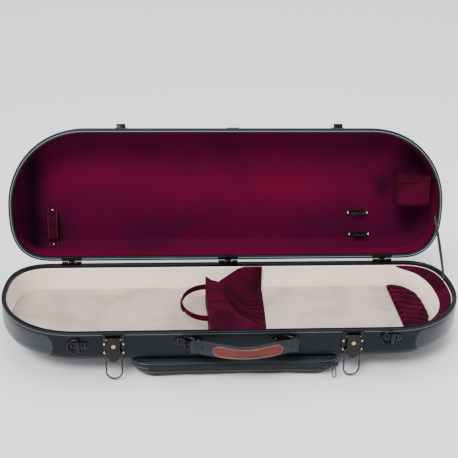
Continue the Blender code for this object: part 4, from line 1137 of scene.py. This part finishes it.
def makePocket():
    p = pocket
    rows = []
    levels = 16
    for k in range(levels + 1):
        w = mix(0.0010, p["front"], k / levels)
        lean = mix(0.0160, 0.0, min(1.0, (w / 0.022) ** 0.6))
        shut = 0.0012 if k == levels else 0.0
        right = p["right"] - lean
        section = []
        steps = 26
        for j in range(steps + 1):                        # the gathered side
            v = mix(p["low"] + shut, p["high"] - shut, j / steps)
            fold = p["foldDepth"] * math.sin(math.pi * p["folds"] * j / steps + 0.6 * math.sin(k)) * (k > 0)
            section.append(Vector((p["left"] + shut + max(-0.0004, fold) * 0.8, v, w)))
        for u in (0.33, 0.66):
            section.append(Vector((mix(p["left"], right, u), p["high"] - shut, w)))
        for j in range(9):
            v = mix(p["high"] - shut, p["low"] + shut, j / 8)
            section.append(Vector((right - shut, v, w)))
        for u in (0.66, 0.33):
            section.append(Vector((mix(p["left"], right, u), p["low"] + shut, w)))
        rows.append(section)
    wall = p["wall"]
    room = block((p["left"] + wall, p["low"] + wall, 0.0038),
                 (p["coverRight"] - wall, p["high"] + 0.01, p["front"] - wall))
    body = carved(merged(skin(rows, capped=True)), cut=[room])
    place("lid_pocket_velvet", moved(body, onLidBack), "velvet", "lid", "velvet", ["lid_pocket"], 40)
    cover = block((p["left"] - 0.0002, p["high"] + 0.0004, 0.0010),
                  (p["coverRight"], p["high"] + 0.0031, p["front"] + 0.0036), 0.0009, 3)
    lip = block((p["left"], p["high"] - 0.0105, p["front"] + 0.0004),
                (p["coverRight"] - 0.0002, p["high"] + 0.0022, p["front"] + 0.0034), 0.0010, 3)
    place("pocket_flap_velvet", moved(carved(cover, add=[lip]), onLidBack), "velvet", "pocket_flap",
          "velvet", ["pocket_flap"], 50)
    edge = [(p["left"] + 0.0012, p["low"], p["front"] - 0.0004), (p["right"] - 0.0012, p["low"],
            p["front"] - 0.0004)]
    seam = tube([onLidBack @ Vector(point) for point in edge], 0.0006)
    place("pocket_lower_seam", seam, "velvet", "lid", "velvet")
    snap = [(p["right"] - 0.0075, p["high"] - 0.0050, p["front"])]
    rivets("pocket_snap", snap, onLidBack, "black", "lid", "hardware", (0.0024, 0.0024, 0.0012))


# plated fittings
frontSpots = dict(latches={"left": -0.1975, "right": 0.1890}, latchRivet=0.0150, latchRows=(-0.020, -0.036),
                  straps={"left": (-0.2540, -0.0225), "right": (0.2530, -0.0150)}, strapRivet=0.0108,
                  brackets={"left": (-0.0845, 0.0060), "right": (0.0745, 0.0050)}, bracketRivet=0.0165,
                  bracketHeight=-0.0165, clipRivet=0.0180,
                  latchFace=0.0017, plateFace=0.0016, clipFace=0.0014,
                  latchHead=(0.0019, 0.0019, 0.0015), plateHead=(0.0045, 0.0045, 0.0036),
                  clipHead=(0.0032, 0.0032, 0.0040))
clipSpots = {"upper": (0.2465, 0.0755), "lower": (0.2515, 0.0325)}


def makeFittings():
    f = frontSpots
    for side in ("left", "middle", "right"):
        softened(f"hinge_base_leaf_{side}", "black", "base", "hardware", 0.0002)
        softened(f"hinge_lid_leaf_{side}", "black", "lid", "hardware", 0.0002)
    for side in ("left", "right"):
        softened(f"latch_plate_{side}", "black", "base", "hardware", 0.0003)
        softened(f"latch_lever_{side}", "black", f"latch_lever_{side}", "hardware", 0.0005)
        softened(f"latch_keeper_{side}", "black", "lid", "hardware", 0.0003)
        softened(f"strap_plate_{side}", "black", "base", "hardware", 0.0003)
        softened(f"handle_bracket_{side}", "black", "base", "hardware", 0.0003)
        softened(f"lock_cylinder_{side}", "brass", f"lock_{side}", "brass", 0.0003)
    softened("lid_centre_plate", "black", "lid", "hardware", 0.0003)
    for level in ("upper", "lower"):
        softened(f"bow_clip_plate_{level}", "black", "lid", "nickel", 0.0003)
        softened(f"bow_clip_{level}", "black", f"bow_clip_{level}", "hardware", 0.0006)
    for name in ("inner", "outer"):
        softened(f"zip_slider_{name}", "steel", f"zip_slider_{name}", "nickel", 0.0003)
    for side, x in f["latches"].items():
        spots = [(x + s * f["latchRivet"], v, f["latchFace"]) for s in (-1, 1) for v in f["latchRows"]]
        rivets(f"latch_rivets_{side}", spots, onFront, "nickel", "base", "nickel", f["latchHead"])
    for side, (x, v) in f["straps"].items():
        spots = [(x + s * f["strapRivet"], v, f["plateFace"]) for s in (-1, 1)]
        rivets(f"strap_rivets_{side}", spots, onFront, "black", "base", "hardware", f["plateHead"])
    for side, (x, offset) in f["brackets"].items():
        spots = [(x + offset + s * f["bracketRivet"], f["bracketHeight"], f["plateFace"]) for s in (-1, 1)]
        rivets(f"bracket_rivets_{side}", spots, onFront, "black", "base", "hardware", f["plateHead"])
    for level, (u, v) in clipSpots.items():
        spots = [(u + s * f["clipRivet"], v, f["clipFace"]) for s in (-1, 1)]
        rivets(f"bow_clip_rivets_{level}", spots, onLidBack, "nickel", "lid", "nickel", f["clipHead"])
    for nodeName in frame["nodes"]:
        if nodeName.startswith(("hinge_pin", "latch_pin")):
            for holder in frame["nodes"][nodeName].material_slots:
                holder.material = looks["nickel"]


bail = dict(half=0.0128, shoulder=0.0082, pivot=-0.0340, drop=-0.0820, out=0.0062, radius=0.0013)


def makeBails():
    b = bail
    for side, x in frontSpots["latches"].items():
        right = [(b["shoulder"], b["pivot"]), (mix(b["shoulder"], b["half"], 0.55), b["pivot"]),
                 (b["half"] - 0.0006, b["pivot"] - 0.0010), (b["half"], b["pivot"] - 0.0035),
                 (b["half"], b["pivot"] - 0.0150), (b["half"], b["drop"] + b["half"])]
        bow = [(b["half"] * math.cos(a), b["drop"] + b["half"] + b["half"] * math.sin(a))
               for a in (-math.pi * k / 12 for k in range(1, 12))]
        path = right + bow + [(-u, v) for u, v in reversed(right)]
        line = smoothPath([(x + u, v, b["out"]) for u, v in path], steps=4)
        place(f"bail_{side}_wire", moved(tube(line, b["radius"], resolution=4), onFront), "steel",
              f"bail_{side}", "hardware", [f"bail_{side}"], 60)


strapRing = dict(half=0.0120, reach=0.0165, out=0.0042, radius=0.0014)
handleRing = dict(half=0.0104, reach=0.018, lean=math.radians(30), out=0.0042, radius=0.0014,
                  bulge=0.0006)


def makeRings():
    r = strapRing
    for side, (x, v) in frontSpots["straps"].items():
        bow = [(-r["reach"] + r["half"] * 0.9 * (1 + math.cos(a)), r["half"] * math.sin(a))
               for a in (math.pi / 2 + math.pi * k / 14 for k in range(15))]
        path = [(0, -r["half"]), (0, -r["half"] / 2), (0, 0), (0, r["half"] / 2), (0, r["half"])] + bow
        line = [Vector((x + u, v + w, r["out"])) for u, w in path]
        place(f"strap_ring_{side}_wire", moved(tube(line, r["radius"], True, 4), onFront), "black",
              f"strap_ring_{side}", "hardware", [f"strap_ring_{side}"], 60)
    h = handleRing
    far = (h["reach"] * math.cos(h["lean"]), h["reach"] * math.sin(h["lean"]))
    for side, (x, _) in frontSpots["brackets"].items():
        half = h["half"]
        wide = half + h["bulge"]
        path = [(0, -half), (0, 0), (0, half), (0.05, wide), (0.95, wide), (1, half), (1, 0), (1, -half),
                (0.95, -wide), (0.05, -wide)]
        line = [Vector((x + far[0] * t, frontSpots["bracketHeight"] + v, h["out"] + far[1] * t))
                for t, v in path]
        place(f"handle_ring_{side}_wire", moved(tube(line, h["radius"], True, 4), onFront), "black",
              f"handle_ring_{side}", "hardware", [f"handle_ring_{side}"], 60)


# handle
grip = dict(stations=72, around=20, endPad=(0.0065, 0.0080), backOut=0.0036, bow=0.0125, thin=0.0045,
            fat=0.0065, halfTall=0.0120, waist=0.0050, topSwell=0.0015, lowSwell=0.0010, ringLoop=0.0072,
            loopRadius=0.0038, bore=0.0019, studs=(0.112, 0.925), studHead=(0.0026, 0.0026, 0.0012))
inlay = dict(first=0.208, last=0.842, steps=64, roundSteps=7, pinch=0.0075, topMargin=0.0030,
             lowMargin=0.0032, bend=0.0007, sunk=0.0012, welt=0.00055, stitchIn=0.0019)


def gripEnds():
    h = handleRing
    reach = (h["reach"] * math.cos(h["lean"]), h["reach"] * math.sin(h["lean"]))
    return [(frontSpots["brackets"][side][0] + reach[0], h["out"] + reach[1]) for side in ("left", "right")]


def gripAt(share):
    g = grip
    (leftU, w), (rightU, _) = gripEnds()
    start, end = leftU - g["endPad"][0], rightU + g["endPad"][1]
    rise = max(0.0, math.sin(math.pi * min(1, max(0, (share - 0.08) / 0.84)))) ** 0.9
    middle = frontSpots["bracketHeight"]
    waist = g["waist"] * math.exp(-((share - 0.5) / 0.2) ** 2)
    return dict(u=mix(start, end, share), back=w + g["backOut"] + g["bow"] * rise,
                thick=g["thin"] + g["fat"] * rise,
                top=middle + g["halfTall"] + g["topSwell"] * rise - waist,
                low=middle - g["halfTall"] - g["lowSwell"] * rise)


def makeHandle():
    g = grip
    rows = []
    for step in range(g["stations"] + 1):
        share = step / g["stations"]
        at = gripAt(share)
        rounding = 0.82 if step in (0, g["stations"]) else 1.0
        row = []
        for k in range(g["around"]):
            angle = 2 * math.pi * k / g["around"]
            c, s = math.cos(angle), math.sin(angle)
            across = math.copysign(abs(c) ** 0.45, c)
            out = math.copysign(abs(s) ** 0.55, s)
            v = (at["top"] + at["low"]) / 2 + across * (at["top"] - at["low"]) / 2 * rounding
            row.append(Vector((at["u"], v, at["back"] + at["thick"] * (0.5 + 0.5 * out * rounding))))
        rows.append(row)
    loops, bores = [], []
    middle, reach = frontSpots["bracketHeight"], g["ringLoop"]
    for u, w in gripEnds():
        loops.append(tube([(u, middle - reach, w), (u, middle + reach, w)], g["loopRadius"], resolution=5))
        loops.append(block((u - 0.0030, middle - reach, w), (u + 0.0030, middle + reach, w + 0.0050)))
        bores.append(tube([(u, middle - 0.02, w), (u, middle + 0.02, w)], g["bore"], resolution=5))
    body = carved(skin(rows, capped=True), add=loops, cut=bores)
    place("handle_grip_leather", moved(body, onFront), "leather", "handle", "leather", ["handle_grip"], 45)

    i = inlay
    count = i["steps"]
    strip, topEdge, lowEdge = [], [], []
    for step in range(count + 1):
        at = gripAt(mix(i["first"], i["last"], step / count))
        near = min(1.0, min(step, count - step) / i["roundSteps"])
        pinch = (1 - math.sqrt(max(0.0, 1 - (1 - near) ** 2))) * i["pinch"]
        high, low = at["top"] - i["topMargin"] - pinch, at["low"] + i["lowMargin"] + pinch
        face = at["back"] + at["thick"]
        row = []
        for k in range(9):
            bend = i["bend"] * math.sin(math.pi * k / 8)
            row.append(Vector((at["u"], mix(low, high, k / 8), face - 0.0002 + bend)))
        row += [Vector((at["u"], mix(high, low, k / 4), face - i["sunk"])) for k in range(5)]
        strip.append(row)
        topEdge.append((at["u"], high, face + 0.0001))
        lowEdge.append((at["u"], low, face + 0.0001))
    place("handle_inlay_leather", moved(skin(strip, capped=True), onFront), "inlay", "handle", "inlay",
          ["handle_inlay"], 50)
    border = topEdge + [(topEdge[-1][0] + 0.0008, (topEdge[-1][1] + lowEdge[-1][1]) / 2, topEdge[-1][2])]
    border += lowEdge[::-1] + [(topEdge[0][0] - 0.0008, (topEdge[0][1] + lowEdge[0][1]) / 2, topEdge[0][2])]
    welt = tube([Vector(point) for point in border], i["welt"], True)
    place("handle_inlay_welt", moved(welt, onFront), "piping", "handle", "inlay", (), 60)
    for name, edge, inward in (("upper", topEdge, -i["stitchIn"]), ("lower", lowEdge, i["stitchIn"])):
        line = [onFront @ Vector((u, v + inward, w + 0.0004)) for u, v, w in edge[5:-5]]
        repeated(f"handle_stitching_{name}", beadTree, line, "piping", "handle", "inlay",
                 (0.00022, 0.00022, 0.0008), spacing=0.0026)
    for name, offset in (("upper", -0.0016), ("lower", 0.0016)):
        key = "top" if name == "upper" else "low"
        line = []
        for step in range(4, g["stations"] - 3):
            at = gripAt(step / g["stations"])
            line.append(onFront @ Vector((at["u"], at[key] + offset, at["back"] + at["thick"] * 0.985)))
        repeated(f"handle_edge_stitching_{name}", beadTree, line, "leather", "handle", "leather",
                 (0.00025, 0.00025, 0.0010), spacing=0.0032)
    spots = []
    for share in g["studs"]:
        at = gripAt(share)
        spots.append((at["u"], middle, at["back"] + at["thick"]))
    rivets("handle_studs", spots, onFront, "black", "handle", "hardware", g["studHead"])


# music pouch
pouch = dict(
    rows=((0.149, -0.2415, -0.034, -0.0860), (0.160, -0.2475, -0.030, -0.0838),
          (0.171, -0.2515, -0.026, -0.0755), (0.177, -0.2530, -0.024, -0.0660),
          (0.180, -0.2528, -0.024, -0.0565), (0.178, -0.2500, -0.026, -0.0535),
          (0.174, -0.2440, -0.030, -0.0575), (0.164, -0.2280, -0.045, -0.0605)),
    frontCorner=(0.030, 0.045, 2.4), backCorner=(0.03, 0.03, 2.0), between=4, spacing=0.010,
    seams=(-0.0562, -0.0672, -0.0765), piping=0.0009, bulge=0.0022, voxel=0.005, swell=0.005,
    slack=0.0016)             # taken in first, since the simulation swells it


def underBase(y):
    s = shellSizes
    inset = caseWidth + y - s["inset"]
    if inset <= 0:
        return 0.0
    if inset > s["baseRound"]:
        return -s["depth"] - 0.0008
    bend = math.acos(1 - inset / s["baseRound"])
    return s["baseRound"] - s["depth"] - s["baseRound"] * math.sin(bend) - 0.0025


def bagOutline(half, low, high, z, steps=14):
    points = []
    for (a, b, power), x, y, turnX, turnY in (
            (pouch["backCorner"], half, high, 1, 1), (pouch["backCorner"], -half, high, -1, 1),
            (pouch["frontCorner"], -half, low, -1, -1), (pouch["frontCorner"], half, low, 1, -1)):
        arc = []
        for step in range(steps + 1):
            t = math.pi / 2 * step / steps
            arc.append(Vector((x - turnX * a + turnX * a * math.cos(t) ** (2 / power),
                               y - turnY * b + turnY * b * math.sin(t) ** (2 / power), z)))
        if turnX * turnY < 0:
            arc.reverse()
        if points:
            gap = arc[0] - points[-1]
            extra = int(gap.length / pouch["spacing"])
            start = points[-1]
            points += [start.lerp(arc[0], k / extra) for k in range(1, extra)]
        points += arc
    gap = points[0] - points[-1]
    extra = int(gap.length / pouch["spacing"])
    start = points[-1]
    points += [start.lerp(points[0], k / extra) for k in range(1, extra)]
    return points


def bagRow(share):
    values = pouch["rows"]
    spot = share * (len(values) - 1)
    i = min(len(values) - 2, int(spot))
    return [mix(a, b, spot - i) for a, b in zip(values[i], values[i + 1])]


def bagRowAt(z):
    values = pouch["rows"][:5]
    for a, b in zip(values, values[1:]):
        if a[3] <= z <= b[3]:
            return [mix(p, q, (z - a[3]) / (b[3] - a[3])) for p, q in zip(a, b)]
    return list(values[-1])


def makePouch():
    count = (len(pouch["rows"]) - 1) * pouch["between"]
    reference = bagOutline(*pouch["rows"][4][:3], 0.0)
    size = len(reference)
    rows = []
    for k in range(count + 1):
        half, low, high, z = bagRow(k / count)
        half, low = half - pouch["slack"], low + pouch["slack"]
        line = bagOutline(half, low, high, z)
        line = [onLine(line + [line[0]], i / size) for i in range(size)]
        row = []
        for p in line:
            soft = 0.0 if z < -0.084 else 1.0
            p.y -= ripple((p.x, p.y, p.z * 2), 24, 0.0006) * soft
            p.z = min(p.z + ripple((p.x, p.y, 3), 18, 0.0006) * soft, underBase(p.y))
            row.append(p)
        rows.append(row)
    mesh = puffed(moved(skin(rows, capped=True), onBase), pouch["voxel"], pouch["swell"])
    tapeLow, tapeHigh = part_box("zipper")
    level = (tapeLow.z + tapeHigh.z) / 2
    for vert in mesh.vertices:                            # pulled in along the zip, flat under the base
        swell = pouch["bulge"] * eased((abs(vert.co.z - level) - 0.003) / 0.006)
        vert.co.y = max(vert.co.y, tapeHigh.y - 0.0002 - swell)
        vert.co.z = max(0.0, min(vert.co.z, underBase(vert.co.y - rimCorner.y) + rimCorner.z))
    surface = BVHTree.FromPolygons([vert.co for vert in mesh.vertices],
                                   [face.vertices for face in mesh.polygons])
    piece = place("music_pouch_cloth", mesh, "nylon", "base", "pouch", ["music_pouch"], 60)
    for number, z in enumerate(pouch["seams"]):
        half, low, high, _ = bagRowAt(z)
        line = bagOutline(half + 0.0002, low - 0.0002, high, z)
        front = [p for p in line if p.y < -0.17]
        front.sort(key=lambda p: p.x)
        sewn = [surface.find_nearest(onBase @ p)[0] for p in front]
        piping = tube(smoothPath(sewn[::2], steps=3), pouch["piping"])
        place(f"pouch_piping_{number + 1}", piping, "pouchPiping", "base", "pouch", (), 60)

    tape = block((tapeLow.x, tapeHigh.y - 0.0010, tapeLow.z), (tapeHigh.x, tapeHigh.y, tapeHigh.z), 0.0002)
    place("zipper_tape", tape, "tape", "base", "pouch", ["zipper"], 50)
    for name, shift in (("upper", 0.0006), ("lower", -0.0006)):
        line = [(mix(tapeLow.x + 0.002, tapeHigh.x - 0.002, k / 60), tapeHigh.y - 0.0011, level + shift)
                for k in range(61)]
        repeated(f"zip_teeth_{name}", beadTree, line, "teeth", "base", "pouch", (0.0010, 0.0005, 0.00052),
                 spacing=0.0015)


pull = dict(level=-0.0605, out=0.0131, half=0.0032, radius=0.0008)


def makePulls():
    for name, lean, reach in (("inner", math.radians(142), 0.0185), ("outer", math.radians(-84), 0.0215)):
        u = joints[f"zip_pull_{name}_swing"]["pos_m"][0]
        half = pull["half"]
        path = [(half * 0.62 * math.cos(a), half * 0.62 * math.sin(a))
                for a in (math.pi * (0.5 + k / 8) for k in range(9))]
        path += [(reach - half + half * math.cos(a), half * math.sin(a))
                 for a in (math.pi * (-0.5 + k / 10) for k in range(11))]
        turn = Matrix.Translation((u, pull["level"], pull["out"])) @ Matrix.Rotation(lean, 4, "Z")
        line = [turn @ Vector((a, b, 0)) for a, b in path]
        place(f"zip_pull_{name}_wire", moved(tube(line, pull["radius"], True, 3), onFront), "steel",
              f"zip_pull_{name}", "nickel", [f"zip_pull_{name}"], 60)


stay = dict(top=(0.3835, 0.0190, 0.0810), foot=(0.3850, -0.0745, -0.0025), half=0.0041, thick=0.0006,
            twist=0.34, bow=0.0012)


def makeStayStrap():
    p = stay
    top, foot = Vector(p["top"]), Vector(p["foot"])
    across = (top - foot).normalized().cross(Vector((1, 0, 0)))
    rows = []
    steps = 40
    for step in range(steps + 1):
        bow = math.sin(math.pi * step / steps)
        point = foot.lerp(top, step / steps) + Vector((p["bow"] * bow, 0, 0))
        turn = p["twist"] * math.sqrt(max(0.0, bow))
        wide = across * math.cos(turn) - Vector((math.sin(turn), 0, 0))
        deep = across * math.sin(turn) + Vector((math.cos(turn), 0, 0))
        rows.append([point + wide * v + deep * h for v, h in (
            (-p["half"], -p["thick"] * 0.4), (0, -p["thick"]), (p["half"], -p["thick"] * 0.4),
            (p["half"], p["thick"] * 0.4), (0, p["thick"]), (-p["half"], p["thick"] * 0.4))])
    strap = link("stay_strap_webbing", moved(skin(rows, capped=True), onBase))
    strap.data.materials.append(looks["webbing"])
    strap.data.shade_smooth()
    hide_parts("stay_strap")
    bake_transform(strap)


# studio
studio = dict(world=0.9, lamps=(
    ("key", "SUN", (-1.2, -2.0, 3.0), (0, 0, 0), 0.45, 3.1),
    ("overhead", "AREA", (0.3, 0.2, 1.8), (0, 0, 0), 1.4, 20),
    ("front", "AREA", (-0.7, -2.4, 0.9), (0, 0, 0.1), 0.9, 10)))


def makeStudio():
    floor = link("studio_floor", block((-15, -15, -0.02), (15, 15, 0.0)))
    white = bpy.data.materials.new("studioFloor")
    white.use_nodes = True
    white.node_tree.nodes["Principled BSDF"].inputs["Base Color"].default_value = (0.9, 0.9, 0.9, 1)
    white.node_tree.nodes["Principled BSDF"].inputs["Roughness"].default_value = 0.7
    floor.data.materials.append(white)
    world = bpy.data.worlds.new("studio")
    bpy.context.scene.world = world
    world.use_nodes = True
    world.node_tree.nodes["Background"].inputs[0].default_value = (0.95, 0.975, 1.0, 1)
    world.node_tree.nodes["Background"].inputs[1].default_value = studio["world"]
    for name, kind, at, aim, wide, power in studio["lamps"]:
        lamp = bpy.data.lights.new(name, kind)
        lamp.energy = power
        if kind == "AREA":
            lamp.size = wide
        else:
            lamp.angle = wide
        holder = link(name, lamp)
        holder.location = at
        holder.rotation_euler = (Vector(aim) - Vector(at)).to_track_quat("-Z", "Y").to_euler()


camera = dict(spot=(-0.1053, -1.4028, 0.8574), pitch=0.4373, yaw=-0.0702, roll=-0.0226, lens=72.07)


def makeCamera():
    data = bpy.data.cameras.new("camera")
    data.lens = camera["lens"]
    data.sensor_width = 36
    data.clip_start = 0.05
    eye = link("camera", data)
    yaw, pitch, roll = camera["yaw"], camera["pitch"], camera["roll"]
    level = Vector((-math.sin(yaw), math.cos(yaw), 0))
    right = Vector((math.cos(yaw), math.sin(yaw), 0))
    ahead = level * math.cos(pitch) - Vector((0, 0, 1)) * math.sin(pitch)
    up = level * math.sin(pitch) + Vector((0, 0, 1)) * math.cos(pitch)
    tiltedRight = right * math.cos(roll) - up * math.sin(roll)
    tiltedUp = right * math.sin(roll) + up * math.cos(roll)
    matrix = Matrix((tiltedRight, tiltedUp, -ahead)).transposed().to_4x4()
    matrix.translation = Vector(camera["spot"])
    eye.matrix_world = matrix
    bpy.context.scene.camera = eye


makeCamera()
makeStudio()
print("studio made")
makeShells()
makeRails()
makeCornerGuards()
print("shells made")
makeBaseLining()
makeLidLining()
makeBodyEnd()
print("linings made")
makeCradle()
makeCradleStrap()
print("cradle made")
makeTipLoop()
makePocket()
print("lid fittings made")
makeFittings()
makeBails()
makeRings()
print("hardware made")
makeHandle()
makePouch()
makePulls()
makeStayStrap()
print("handle and pouch made")
